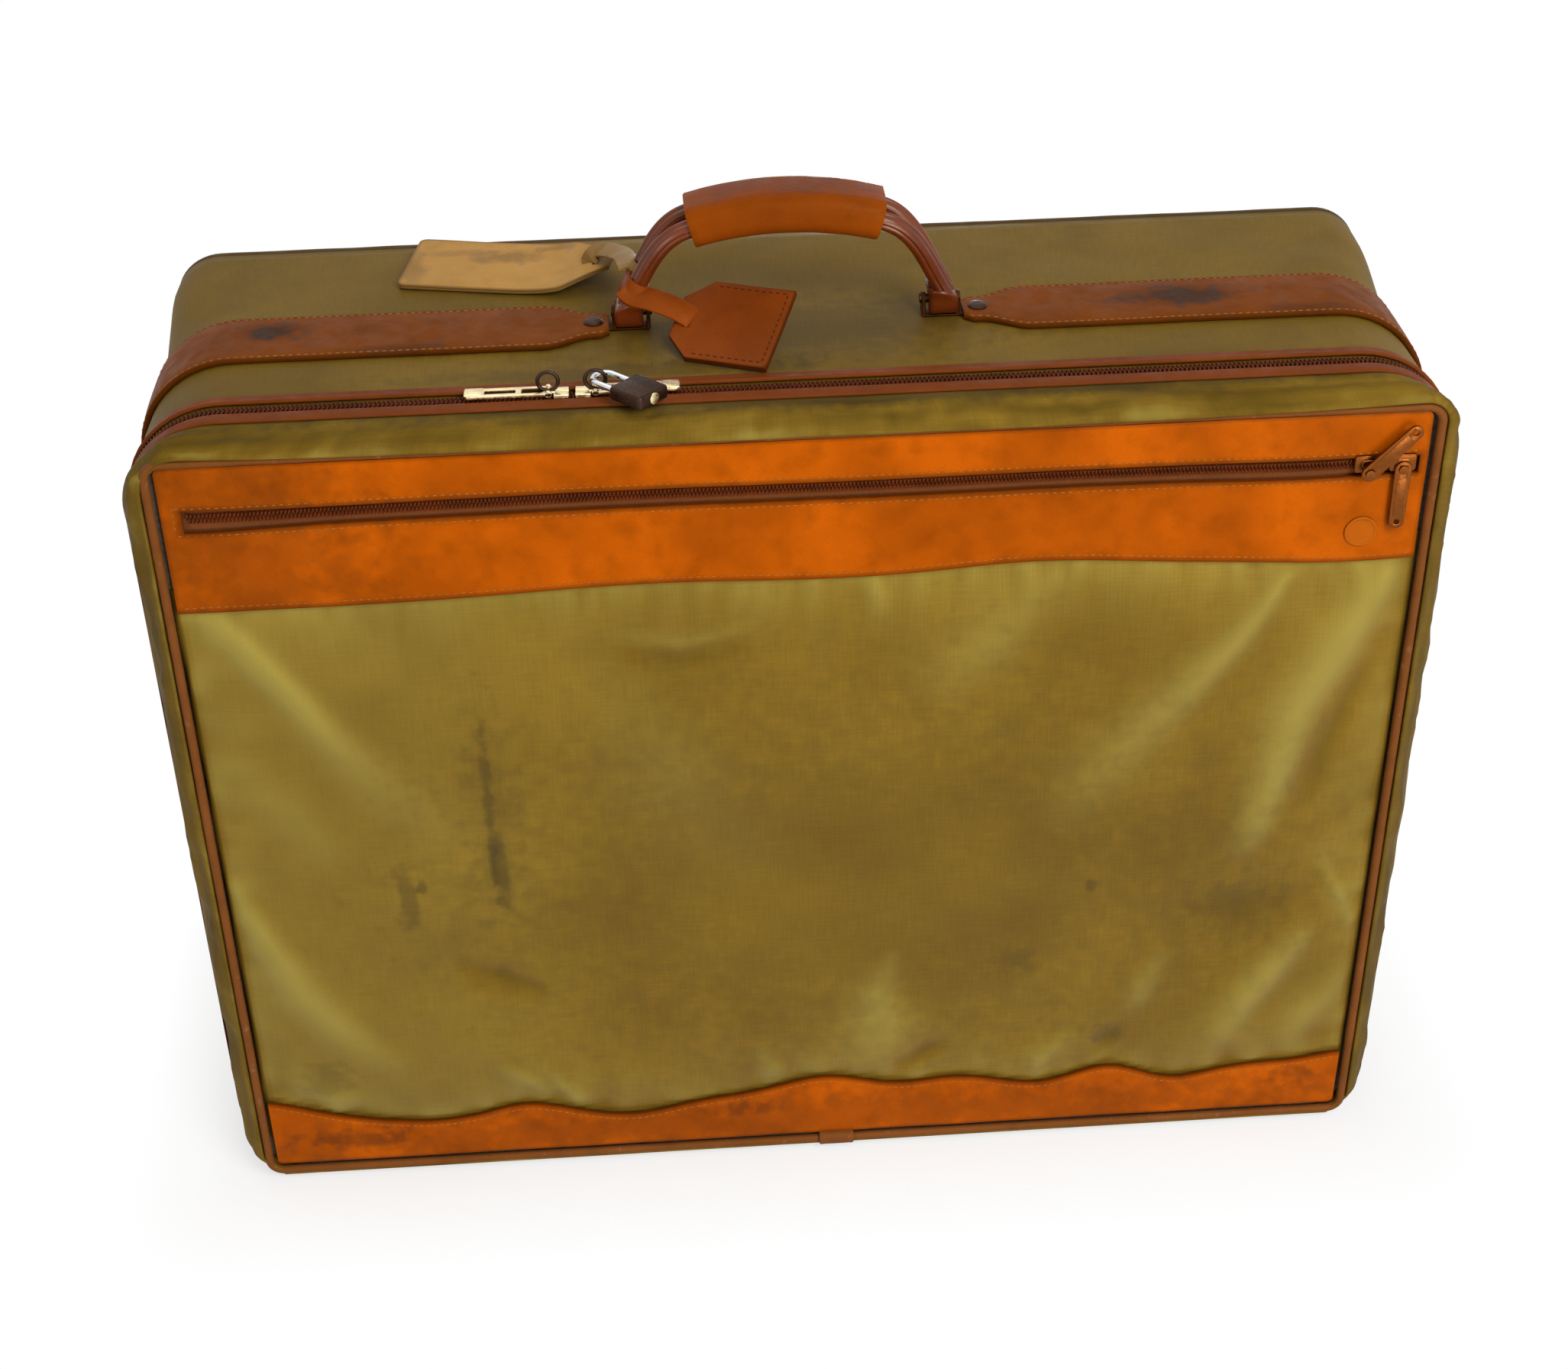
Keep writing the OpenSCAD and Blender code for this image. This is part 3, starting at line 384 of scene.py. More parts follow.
def rounded_rect(half_w, low, high, r, count):
    """Points round a rounded rectangle."""
    middles = [(half_w - r, low + r, -90), (half_w - r, high - r, 0), (r - half_w, high - r, 90),
               (r - half_w, low + r, 180)]
    return [point for x, z, start in middles for point in arc(r, start, start + 90, count, x, z)]


def block(low, high, edge, segments=2):
    """A box with rounded edges between two corners."""
    bm = bmesh.new()
    bmesh.ops.create_cube(bm, size=1)
    low, high = Vector(low), Vector(high)
    bmesh.ops.scale(bm, vec=high - low, verts=bm.verts)
    bmesh.ops.translate(bm, vec=(low + high) / 2, verts=bm.verts)
    bmesh.ops.bevel(bm, geom=bm.edges, offset=edge, segments=segments, profile=0.5, affect="EDGES",
                    material=-1)
    return bm


def plate(outline, holes, thickness, edge):
    """A flat plate in X and Y with holes and rounded edges, from z 0 up."""
    bm = bmesh.new()
    for points in [outline, *holes]:
        ring = [bm.verts.new((x, y, 0)) for x, y in points]
        for a, b in zip(ring, ring[1:] + ring[:1]):
            bm.edges.new((a, b))
    bmesh.ops.triangle_fill(bm, edges=bm.edges, use_beauty=True)
    bmesh.ops.dissolve_limit(bm, angle_limit=0.01, verts=bm.verts, edges=bm.edges)
    raised = bmesh.ops.extrude_face_region(bm, geom=bm.faces)["geom"]
    bmesh.ops.translate(bm, vec=(0, 0, thickness),
                        verts=[g for g in raised if isinstance(g, bmesh.types.BMVert)])
    bmesh.ops.recalc_face_normals(bm, faces=bm.faces)
    sharp = [e for e in bm.edges if len(e.link_faces) == 2 and e.calc_face_angle() > math.radians(50)
             and abs(e.verts[0].co.z - e.verts[1].co.z) < WELD]
    bmesh.ops.bevel(bm, geom=sharp, offset=edge, segments=2, profile=0.5, affect="EDGES", material=-1)
    return bm


def path_frames(points, up, count):
    """Frames along a smooth curve through points; up is the direction that stays square to it."""
    ends = [points[0] * 2 - points[1], *points, points[-1] * 2 - points[-2]]
    line = []
    for i in range(count + 1):
        t = min(i / count * (len(points) - 1), len(points) - 1 - 1e-6)
        k, f = int(t), t - int(t)
        a, b, c, d = ends[k:k + 4]
        line.append(0.5 * (2 * b + (c - a) * f + (2 * a - 5 * b + 4 * c - d) * f ** 2
                           + (3 * b - a - 3 * c + d) * f ** 3))
    frames = []
    for i, p in enumerate(line):
        along = (line[min(i + 1, count)] - line[max(i - 1, 0)]).normalized()
        side = along.cross(up).normalized()
        frames.append((p, side, side.cross(along)))
    return frames


class RoundedLoop:
    """An upright rounded rectangle, walked from the middle of its foot to the right and round."""

    def __init__(self, half_w, low, high, r):
        self.flat, self.half_w, self.low, self.high, self.r = half_w - r, half_w, low, high, r
        bend, side = math.pi * r / 2, high - low - 2 * r
        self.lengths = [self.flat, bend, side, bend, 2 * self.flat, bend, side, bend, self.flat]
        self.total = sum(self.lengths)

    def at(self, run, share):
        """The point (x, z) and the outward direction at a share of one of the nine runs."""
        flat, low, high, r = self.flat, self.low, self.high, self.r
        if run % 2:
            turn = math.radians(90 * ((run - 3) / 2 + share))
            out = Vector((math.cos(turn), 0, math.sin(turn)))
            x = flat if run < 4 else -flat
            z = high - r if run in (3, 5) else low + r
            return Vector((x, 0, z)) + r * out, out
        straight = {
            0: ((0, low), (flat, low), -UP),
            2: ((self.half_w, low + r), (self.half_w, high - r), RIGHT),
            4: ((flat, high), (-flat, high), UP),
            6: ((-self.half_w, high - r), (-self.half_w, low + r), -RIGHT),
            8: ((-flat, low), (0, low), -UP)}
        (x0, z0), (x1, z1), out = straight[run]
        return Vector((x0 + (x1 - x0) * share, 0, z0 + (z1 - z0) * share)), out

    def find(self, distance):
        """The run and share at a distance round the loop."""
        for run, length in enumerate(self.lengths):
            if distance <= length or run == 8:
                return run, min(1.0, distance / length)
            distance -= length

    def stations(self, step, corner_steps):
        """Runs and shares about a step apart, with finer steps in the corners, back to the start."""
        found = []
        for run, length in enumerate(self.lengths):
            count = corner_steps if run % 2 else max(2, round(length / step))
            found += [(run, k / count) for k in range(count)]
        return found + [(8, 1.0)]

    def frames(self, stations, y):
        """Frames at a depth: sideways is to the back and up is outwards."""
        found = []
        for run, share in stations:
            point, out = self.at(run, share)
            found.append((point + y * BACK, BACK, out))
        return found


OUTLINE = RoundedLoop(CASE_HALF_W, 0, CASE_H, CASE_CORNER_R)
BACK_CORNER_R = 27


def back_outline(inset, station, sharper=1.0):
    """A point of the case's outline, set in, and its outward direction. The back's top corners are
    sharper."""
    found = []
    for r in (CASE_CORNER_R, BACK_CORNER_R):
        found.append(RoundedLoop(CASE_HALF_W - inset, inset, CASE_H - inset, r - inset).at(*station))
    (wide, out), (tight, out_tight) = found
    share = sharper * ease((wide.z - 120) / 200)
    return wide.lerp(tight, share), out.lerp(out_tight, share).normalized()


ZIP_START = OUTLINE.lengths[0] + CASE_CORNER_R * (math.pi / 2 - ZIP_WRAP)
ZIP_LEN = OUTLINE.total - 2 * ZIP_START


def zip_stations(step):
    """Runs and shares along the main zip, from the right foot over the top to the left foot."""
    count = round(ZIP_LEN / step)
    return [OUTLINE.find(ZIP_START + ZIP_LEN * k / count) for k in range(count + 1)]


def piece(bm, name, key, body=None, stands_for=(), sharp=45):
    """Makes an object of a shape drawn in millimetres, with a finish, which rides on a body."""
    bmesh.ops.scale(bm, vec=(MM, MM, MM), verts=bm.verts)
    mesh = bpy.data.meshes.new(name)
    bm.to_mesh(mesh)
    bm.free()
    mesh.shade_smooth()
    mesh.set_sharp_from_angle(angle=math.radians(sharp))
    mesh.materials.append(finish(key))
    obj = bpy.data.objects.new(name, mesh)
    bpy.context.scene.collection.objects.link(obj)
    if body:
        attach(obj, body)
    if stands_for:
        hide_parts(*stands_for)
    return obj


def thicken(obj, thickness, edge=0):
    """Gives a sheet its thickness behind its face, and rounded edges."""
    solid = obj.modifiers.new("Thickness", "SOLIDIFY")
    solid.thickness = thickness * MM
    solid.offset = -1
    solid.use_even_offset = True
    if edge:
        bevel = obj.modifiers.new("Edges", "BEVEL")
        bevel.width = edge * MM
        bevel.segments = 2
        bevel.limit_method = "ANGLE"
        bevel.angle_limit = math.radians(50)
    return obj


def stitch_row(bm, frames):
    """Adds a stitch at every frame: its third direction lies along the row."""
    half = Vector((THREAD_HALF_W, chosen_mm("stitch") / 2, THREAD_HALF_T))
    for origin, side, up in frames:
        turn = Matrix((side, up.cross(side), up)).transposed().to_4x4()
        place = Matrix.Translation(origin) @ turn @ Matrix.Diagonal(half).to_4x4()
        bmesh.ops.create_icosphere(bm, subdivisions=1, radius=1, matrix=place)


def row_frames(point, start, end, step, up):
    """Frames for a row of stitches along point(t), for t from start to end."""
    steps = 60
    line = [point(start + (end - start) * k / steps) for k in range(steps + 1)]
    long = sum((b - a).length for a, b in zip(line, line[1:]))
    count = max(1, round(long / step))
    found = []
    for k in range(count):
        t = start + (end - start) * (k + 0.5) / count
        along = (point(t + (end - start) * 0.001) - point(t)).normalized()
        found.append((point(t), along.cross(up), up))
    return found


# Finishes

# At a scale of 1, the bands of a wave pattern are this far apart
WAVE_PERIOD = 0.314


def add(tree, kind, sockets=None, **settings):
    """Adds a node with its settings; a socket takes a value, or a node or an output to link to."""
    node = tree.nodes.new("ShaderNode" + kind)
    for name, value in settings.items():
        setattr(node, name, value)
    for key, value in (sockets or {}).items():
        if isinstance(value, bpy.types.Node):
            value = value.outputs[0]
        if isinstance(value, bpy.types.NodeSocket):
            tree.links.new(value, node.inputs[key])
        else:
            node.inputs[key].default_value = value
    return node


def new_tree(name):
    """A new material and its empty tree."""
    made = bpy.data.materials.new(name)
    made.use_nodes = True
    made.node_tree.nodes.clear()
    return made, made.node_tree


def shade(tree, **sockets):
    """Ends a finish with a shader whose sockets take these values and nodes."""
    shader = add(tree, "BsdfPrincipled", {k.replace("_", " "): v for k, v in sockets.items()})
    add(tree, "OutputMaterial", {"Surface": shader})


def speckle(tree, place, size_mm, detail=2.0, stretch=(1, 1, 1), low=0.35, high=0.65):
    """Soft blotches about that large, as a mask from 0 to 1."""
    scaled = add(tree, "Mapping", {"Vector": place, "Scale": [s / (size_mm * MM) for s in stretch]})
    cloud = add(tree, "TexNoise", {"Vector": scaled, "Scale": 1.0, "Detail": detail})
    return add(tree, "MapRange", {"Value": cloud.outputs["Fac"], "From Min": low, "From Max": high})


def lay(tree, tone, over, mask, strength=1.0):
    """Lays a colour over a tone where a mask says, up to a strength."""
    share = add(tree, "Math", {0: mask, 1: strength}, operation="MULTIPLY")
    return add(tree, "Mix", {0: share, 6: tone, 7: over}, data_type="RGBA").outputs[2]


def patch(tree, place, middle, reach):
    """A ragged mark round a point, as a mask from 0 to 1, for stains and for patches of painted shade."""
    ragged, grit_mm = 0.5, 9
    scale = [1 / (r * MM) for r in reach]
    shift = [-m * MM * s for m, s in zip(middle, scale)]
    shifted = add(tree, "Mapping", {"Vector": place, "Scale": scale, "Location": shift})
    far = add(tree, "VectorMath", {0: shifted}, operation="LENGTH").outputs["Value"]
    rough = speckle(tree, place, grit_mm, 5, low=0.25, high=0.75)
    edge = add(tree, "Math", {0: rough, 1: 2 * ragged, 2: far}, operation="MULTIPLY_ADD")
    return add(tree, "MapRange", {"Value": edge, "From Min": 1.1 + ragged, "From Max": 0.45 + ragged})


def sight(tree):
    """The kinds of ray, and a mask of those that the eye follows: straight, mirrored or through glass."""
    rays = add(tree, "LightPath").outputs
    seen = add(tree, "Math", {0: rays["Is Camera Ray"], 1: rays["Is Glossy Ray"]}, operation="MAXIMUM")
    return rays, add(tree, "Math", {0: seen, 1: rays["Is Transmission Ray"]}, operation="MAXIMUM")


def rgba(value, factor=1.0):
    """A colour property as a socket's value, made lighter or darker."""
    return (*[min(1.0, c * factor) for c in value], 1.0)


def woven_nylon(name, base, light, colours, roughness, shine, dark_marks, grime):
    """Plain-woven nylon, with satin threads: it shines softly along folds, shows slubs along warp and
    weft, and holds ground-in dirt. Its fold attribute lays painted sheen where high and painted shade
    where low."""
    made, tree = new_tree(name)
    cloth = add(tree, "UVMap", uv_map="UVMap")
    place = add(tree, "TexCoord").outputs["Object"]
    step = chosen_mm("thread")
    tone = lay(tree, rgba(base), rgba(light), speckle(tree, place, 90, 3))
    warp = speckle(tree, cloth, step, 1, (1, 0.06, 1), 0.3, 0.7)
    weft = speckle(tree, cloth, step, 1, (0.06, 1, 1), 0.3, 0.7)
    slub = add(tree, "Math", {0: warp, 1: weft}, operation="ADD")
    level = add(tree, "MapRange", {"Value": slub, "From Max": 2.0, "To Min": 0.87, "To Max": 1.13})
    grey = add(tree, "CombineColor", {i: level for i in range(3)})
    tone = add(tree, "Mix", {0: 1.0, 6: tone, 7: grey}, data_type="RGBA", blend_type="MULTIPLY").outputs[2]
    fold = add(tree, "Attribute", attribute_name="fold").outputs["Fac"]
    # Painted sheen where the fold attribute is above zero, mostly along fold ridges
    worn = add(tree, "MapRange", {"Value": fold, "To Max": 0.85})
    tone = lay(tree, tone, rgba(colours.nylon_fold_sheen), worn)
    # Darker where the fold attribute is below zero: painted shade in creases and gaps, and on the lid's side
    # strip an overall darkening
    sunk = add(tree, "MapRange", {"Value": fold, "From Max": -1.0, "To Max": 0.75})
    tone = lay(tree, tone, rgba(base, 0.4), sunk)
    smut = speckle(tree, place, 38, 6, low=0.52, high=0.78)
    tone = lay(tree, tone, rgba(colours.dirt), smut, grime)
    # Marks in the dirt colour: stains, and on the pocket a patch of painted shadow
    for middle, reach, strength in dark_marks:
        tone = lay(tree, tone, rgba(colours.dirt), patch(tree, place, middle, reach), strength)
    scale = WAVE_PERIOD / (2 * step * MM)
    bands = [add(tree, "TexWave", {"Vector": cloth, "Scale": scale}, bands_direction=axis).outputs["Fac"]
             for axis in ("X", "Y")]
    weave = add(tree, "Math", {0: bands[0], 1: bands[1]}, operation="MULTIPLY")
    height = add(tree, "Math", {0: weave, 1: slub}, operation="ADD")
    relief = add(tree, "Bump", {"Height": height, "Strength": 0.25, "Distance": 0.12 * MM})
    shade(tree, Base_Color=tone, Normal=relief, Roughness=roughness, Specular_IOR_Level=shine,
          Specular_Tint=rgba(colour("#ffdf61")))
    return made


def leather(name, base, roughness, lighter, darker, rim_mm, scuffs=0.0, dark_marks=(),
            stain_tone="#271d16", coat=0.0, grain_depth=0.09, shine=0.2):
    """Vegetable-tanned leather: cloudy tone, fine pores and creases, burnished darker edges, pale scuffs."""
    made, tree = new_tree(name)
    place = add(tree, "TexCoord").outputs["Object"]
    tone = lay(tree, rgba(base), rgba(base, lighter), speckle(tree, place, 42, 4))
    tone = lay(tree, tone, rgba(base, darker), speckle(tree, place, 15, 5, low=0.5, high=0.8), 0.5)
    grit = add(tree, "Mapping", {"Vector": place, "Scale": [1 / (chosen_mm("grain") * MM)] * 3})
    cells = add(tree, "TexVoronoi", {"Vector": grit, "Scale": 1.0}, feature="DISTANCE_TO_EDGE")
    wall = cells.outputs["Distance"]
    pores = add(tree, "MapRange", {"Value": wall, "From Max": 0.12, "To Min": 0.35, "To Max": 0.0})
    tone = lay(tree, tone, rgba(base, darker * 0.8), pores, 0.5)
    if scuffs:
        worn = speckle(tree, place, 6, 6, low=0.62, high=0.74)
        tone = lay(tree, tone, rgba([c * 1.5 + 0.06 for c in base]), worn, scuffs)
    rim = add(tree, "Attribute", attribute_name="rim").outputs["Fac"]
    burnish = add(tree, "MapRange", {"Value": rim, "From Max": rim_mm, "To Min": 0.8, "To Max": 0.0})
    tone = lay(tree, tone, rgba(base, 0.28), burnish)
    for middle, reach, strength in dark_marks:
        tone = lay(tree, tone, rgba(colour(stain_tone)), patch(tree, place, middle, reach), strength)
    smooth = add(tree, "MapRange", {"Value": speckle(tree, place, 9, 4), "To Min": roughness - 0.07,
                                    "To Max": roughness + 0.1})
    height = add(tree, "Math", {0: speckle(tree, place, 3.5, 4), 1: wall}, operation="ADD")
    relief = add(tree, "Bump", {"Height": height, "Strength": 0.6, "Distance": grain_depth * MM})
    shade(tree, Base_Color=tone, Normal=relief, Roughness=smooth, Coat_Weight=coat, Coat_Roughness=0.25,
          Specular_IOR_Level=shine, Specular_Tint=rgba(colour("#ffcb89")))
    return made


def metal(name, base, roughness, tarnish):
    """Plated metal: smeared polish with darker tarnish in patches."""
    made, tree = new_tree(name)
    place = add(tree, "TexCoord").outputs["Object"]
    smear_mm = 5
    dull = speckle(tree, place, smear_mm, 5, low=0.45, high=0.75)
    tone = lay(tree, rgba(base), rgba(base, 0.35), dull, tarnish)
    smooth = add(tree, "MapRange", {"Value": speckle(tree, place, smear_mm / 3, 4),
                                    "To Min": roughness - 0.08, "To Max": roughness + 0.14})
    scratch = speckle(tree, place, 1.2, 3, (0.15, 1, 1))
    relief = add(tree, "Bump", {"Height": scratch, "Strength": 0.25, "Distance": 0.03 * MM})
    shade(tree, Base_Color=tone, Normal=relief, Roughness=smooth, Metallic=1.0)
    return made


def ribbed_cloth(name, base, rib_mm, roughness=0.75, sheen=0.2):
    """Woven tape or lining: fine ribs and a faded, uneven dye."""
    made, tree = new_tree(name)
    cloth = add(tree, "UVMap", uv_map="UVMap")
    place = add(tree, "TexCoord").outputs["Object"]
    tone = lay(tree, rgba(base, 0.88), rgba(base, 1.08), speckle(tree, place, 30, 5))
    scale = WAVE_PERIOD / (rib_mm * MM)
    ribs = add(tree, "TexWave", {"Vector": cloth, "Scale": scale, "Distortion": 0.6}).outputs["Fac"]
    tone = lay(tree, tone, rgba(base, 0.55), ribs, 0.35)
    relief = add(tree, "Bump", {"Height": ribs, "Strength": 0.5, "Distance": 0.15 * MM})
    shade(tree, Base_Color=tone, Normal=relief, Roughness=roughness, Sheen_Weight=sheen,
          Specular_IOR_Level=0.15)
    return made


def moulded_nylon(name, base):
    """Extruded nylon of the coils: even colour with a dull bloom of wear and grime between turns."""
    made, tree = new_tree(name)
    place = add(tree, "TexCoord").outputs["Object"]
    tone = lay(tree, rgba(base, 0.75), rgba(base, 1.3), speckle(tree, place, 14, 5))
    smooth = add(tree, "MapRange", {"Value": speckle(tree, place, 4, 3), "To Min": 0.3, "To Max": 0.5})
    shade(tree, Base_Color=tone, Roughness=smooth, Specular_IOR_Level=0.2,
          Specular_Tint=rgba(colour("#ffcba0")))
    return made


def pressed_board(name, base):
    """Pressed fibreboard: short fibres in a matt, mottled sheet."""
    made, tree = new_tree(name)
    place = add(tree, "TexCoord").outputs["Object"]
    tone = lay(tree, rgba(base, 0.75), rgba(base, 1.2), speckle(tree, place, 2.5, 6))
    fibres = speckle(tree, place, 1.5, 5)
    relief = add(tree, "Bump", {"Height": fibres, "Strength": 0.4, "Distance": 0.15 * MM})
    shade(tree, Base_Color=tone, Normal=relief, Roughness=0.85)
    return made


# Marks: the middle of each, its reach along x, y and z, and how strong it is. Most are old stains;
# the notes say where one is painted shade or only a darker area
FRONT_Y = BAND_FRONT - 4
STRAP_TOP = CASE_H + STRAP_T
# On the cover, the first mark darkens the top under the handle; the others are stains
COVER_MARKS = [
    ((0, HANDLE_Y - 10, CASE_H), (160, 40, 30), 0.35), ((0, ZIP_Y - 14, CASE_H), (340, 8, 12), 0.55),
    ((-90, ZIP_Y + 24, CASE_H), (120, 9, 8), 0.4)]
# On the pocket, the first mark darkens its middle, and the last is painted shadow in the hollow at the
# right; the others are stains
POCKET_MARKS = [
    ((40, FRONT_Y, 200), (250, 30, 150), 0.22), ((-168, FRONT_Y, 265), (3.5, 20, 52), 0.5),
    ((-165, FRONT_Y, 222), (5, 20, 30), 0.55), ((-166, FRONT_Y, 250), (16, 20, 75), 0.2),
    ((-216, FRONT_Y, 206), (6, 20, 30), 0.4), ((-208, FRONT_Y, 212), (3, 20, 5), 0.5),
    ((-274, FRONT_Y, 75), (20, 20, 14), 0.3), ((156, FRONT_Y, 188), (4, 20, 5), 0.5),
    ((118, FRONT_Y, 138), (16, 20, 10), 0.25), ((172, FRONT_Y, 76), (14, 20, 9), 0.35),
    ((240, FRONT_Y, 165), (34, 20, 26), 0.2)]
# On the bands, the marks darken the bottom band's lower part, both bands near the piping and the leather
# along the zip's window
BAND_MARKS = [
    ((0, FRONT_Y, 22), (420, 20, 24), 0.32), ((-265, FRONT_Y, 28), (34, 20, 8), 0.45),
    ((-40, FRONT_Y, 33), (24, 20, 6), 0.4), ((285, FRONT_Y, 34), (16, 20, 8), 0.35),
    ((297, FRONT_Y, 408), (8, 20, 14), 0.25), ((-275, FRONT_Y, 424), (75, 20, 70), 0.3),
    ((-150, FRONT_Y, 442), (170, 20, 9), 0.25), ((150, FRONT_Y, 441), (170, 20, 9), 0.25)]
# The grip's mark darkens the top of the grip
GRIP_MARKS = [((0, HANDLE_Y + 4, ARCH_Z + GRIP_ARCH_R + 12), (90, 14, 9), 0.35)]
STRAP_MARKS = [
    ((-262, HANDLE_Y + 6, STRAP_TOP), (19, 12, 6), 0.85),
    ((206, HANDLE_Y + 2, STRAP_TOP), (34, 14, 6), 0.8),
    ((-200, HANDLE_Y - 20, STRAP_TOP), (30, 5, 6), 0.4),
    ((270, HANDLE_Y - 18, STRAP_TOP), (30, 6, 6), 0.4)]
TAG_MARKS = [
    ((-142, 76, CASE_H + 4), (26, 8, 8), 0.5), ((-118, 82, CASE_H + 6), (14, 4, 8), 0.4),
    ((-172, 84, CASE_H + 4), (20, 4, 8), 0.3), ((-196, 70, CASE_H + 4), (8, 20, 8), 0.4)]

# Nylons: roughness, shine, marks and share of ground-in dirt
NYLONS = {"nylon": (0.55, 0.14, COVER_MARKS, 0.25), "pocket": (0.42, 0.34, POCKET_MARKS, 0.12)}

# Leathers: roughness, lighter and darker clouds, width of the dark edge in millimetres and share of
# scuffs, and what else sets one apart
LEATHERS = {
    "tan": ((0.36, 1.5, 0.5, 3.2, 0.0),
            {"dark_marks": BAND_MARKS, "stain_tone": "#3f240d", "shine": 0.1}),
    "grip": ((0.34, 1.25, 0.6, 1.0, 0.0),
             {"dark_marks": GRIP_MARKS, "stain_tone": "#3f2414", "shine": 0.06}),
    "strap": ((0.48, 1.25, 0.6, 1.8, 0.1), {"dark_marks": STRAP_MARKS, "shine": 0.06}),
    "cord": ((0.26, 1.5, 0.5, 0.5, 0.1), {"coat": 0.55, "grain_depth": 0.05}),
    "piping": ((0.4, 1.2, 0.6, 0.5, 0.55), {"grain_depth": 0.08, "shine": 0.1}),
    # Back piping: its darker colour is painted shade
    "back_piping": ((0.45, 1.2, 0.6, 0.5, 0.2), {}),
    "pale_strap": ((0.5, 1.15, 0.7, 0.6), {}),
    "welt": ((0.45, 1.2, 0.65, 0.8, 0.08), {"shine": 0.06}),
    "tag": ((0.4, 1.3, 0.6, 1.0, 0.05), {"shine": 0.1}),
    "pale": ((0.55, 1.12, 0.75, 2.2, 0.0), {"dark_marks": TAG_MARKS, "stain_tone": "#614b30"}),
    "disc": ((0.4, 1.15, 0.7, 1.0), {"shine": 0.15}),
}

# Cloths: rib spacing in millimetres, and roughness and sheen where they differ
CLOTHS = {"tape": (1.0,), "pocket_tape": (1.0,), "lining": (1.6, 0.6, 0.3), "thread": (0.8, 0.9, 0.0),
          "dark_thread": (0.8, 0.9, 0.0)}

# Metals: roughness and share of tarnish
METALS = {"brass": (0.3, 0.35), "copper": (0.34, 0.3), "steel": (0.14, 0.15), "bronze": (0.42, 0.5),
          "dark_bronze": (0.6, 0.6)}


def finish(key):
    """The material of that name, made the first time it is asked for."""
    name = "case_" + key
    if name in bpy.data.materials:
        return bpy.data.materials[name]
    colours = bpy.context.scene.travel_case_colours
    base = getattr(colours, key)
    if key in NYLONS:
        return woven_nylon(name, base, getattr(colours, key + "_light"), colours, *NYLONS[key])
    if key in LEATHERS:
        values, others = LEATHERS[key]
        return leather(name, base, *values, **others)
    if key in CLOTHS:
        return ribbed_cloth(name, base, *CLOTHS[key])
    if key in METALS:
        return metal(name, base, *METALS[key])
    return {"coil": moulded_nylon, "board": pressed_board}[key](name, base)


# Places on the object

def at_name_tag(x, y, z):
    """A point of the name tag's own frame."""
    tilt = Matrix.Rotation(NAME_TAG_TILT, 3, "X")
    p = tilt @ Vector((x, y + NAME_TAG_HALF_W, z)) - Vector((0, NAME_TAG_HALF_W, 0))
    return NAME_TAG_AT + Matrix.Rotation(NAME_TAG_YAW, 3, "Z") @ p


def at_brown_tag(x, y, z):
    """A point of the brown tag's own frame."""
    turn = Matrix.Rotation(BROWN_TAG_YAW, 3, "Z") @ Matrix.Rotation(BROWN_TAG_ROLL, 3, "X")
    return BROWN_TAG_AT + turn @ Vector((x, y, z))


def at_handle(turn):
    """A point of the handle's middle line and its outward direction, by its angle from upright."""
    side = math.copysign(1, turn)
    angle = min(abs(turn), GRIP_ANGLE)
    out = Vector((side * math.sin(angle), 0, math.cos(angle)))
    start = Vector((0, HANDLE_Y, ARCH_Z)) + GRIP_ARCH_R * out
    if abs(turn) <= GRIP_ANGLE:
        return start, out
    end = Vector((side * END_X, HANDLE_Y, CORD_END_Z))
    t = (abs(turn) - GRIP_ANGLE) / (math.pi / 2 - GRIP_ANGLE)
    pull = 1.05 * (end - start).length
    leave = pull * Vector((side * math.cos(angle), 0, -math.sin(angle)))
    arrive = pull * Vector((side * math.cos(CORD_END_SLOPE), 0, -math.sin(CORD_END_SLOPE)))
    point = ((2 * t ** 3 - 3 * t ** 2 + 1) * start + (t ** 3 - 2 * t ** 2 + t) * leave
             + (3 * t ** 2 - 2 * t ** 3) * end + (t ** 3 - t ** 2) * arrive)
    along = ((6 * t ** 2 - 6 * t) * (start - end) + (3 * t ** 2 - 4 * t + 1) * leave
             + (3 * t ** 2 - 2 * t) * arrive)
    return point, Vector((-side * along.z, 0, side * along.x)).normalized()


def cord_offset(turn):
    """Half the distance between the two cords."""
    share = (abs(turn) - GRIP_ANGLE) / (math.pi / 2 - GRIP_ANGLE)
    return CORD_SPREAD - (CORD_SPREAD - CORD_END_SPREAD) * ease(share)


# Waves of the bands' free edges and of the pocket zip, each a place, a height and a width
POCKET_BAND_WAVES = [(-75, 4.4, 90), (120, 6.4, 70), (278, -2.6, 45)]
BOTTOM_BAND_WAVES = [
    (-320, 16, 40), (-218, -5.5, 40), (-165, 4.5, 22), (-104, -9, 34), (8, 11, 34), (84, 5, 26),
    (132, -3, 20), (174, 7, 22), (214, -5, 22), (262, 1.5, 20), (318, 8, 34)]
ZIP_WAVES = [(-275, -1.0, 45), (-90, 0.9, 90), (130, 0.5, 60), (250, -0.9, 40)]


def wavy(x, waves):
    """The sum of waves at a place."""
    return sum(h * bump(x, m, w) for m, h, w in waves)


def pocket_band_low(x):
    """Height of the pocket band's lower edge."""
    return CASE_H - 97.2 + wavy(x, POCKET_BAND_WAVES)


def bottom_band_high(x):
    """Height of the bottom band's upper edge."""
    return 43 + wavy(x, BOTTOM_BAND_WAVES)


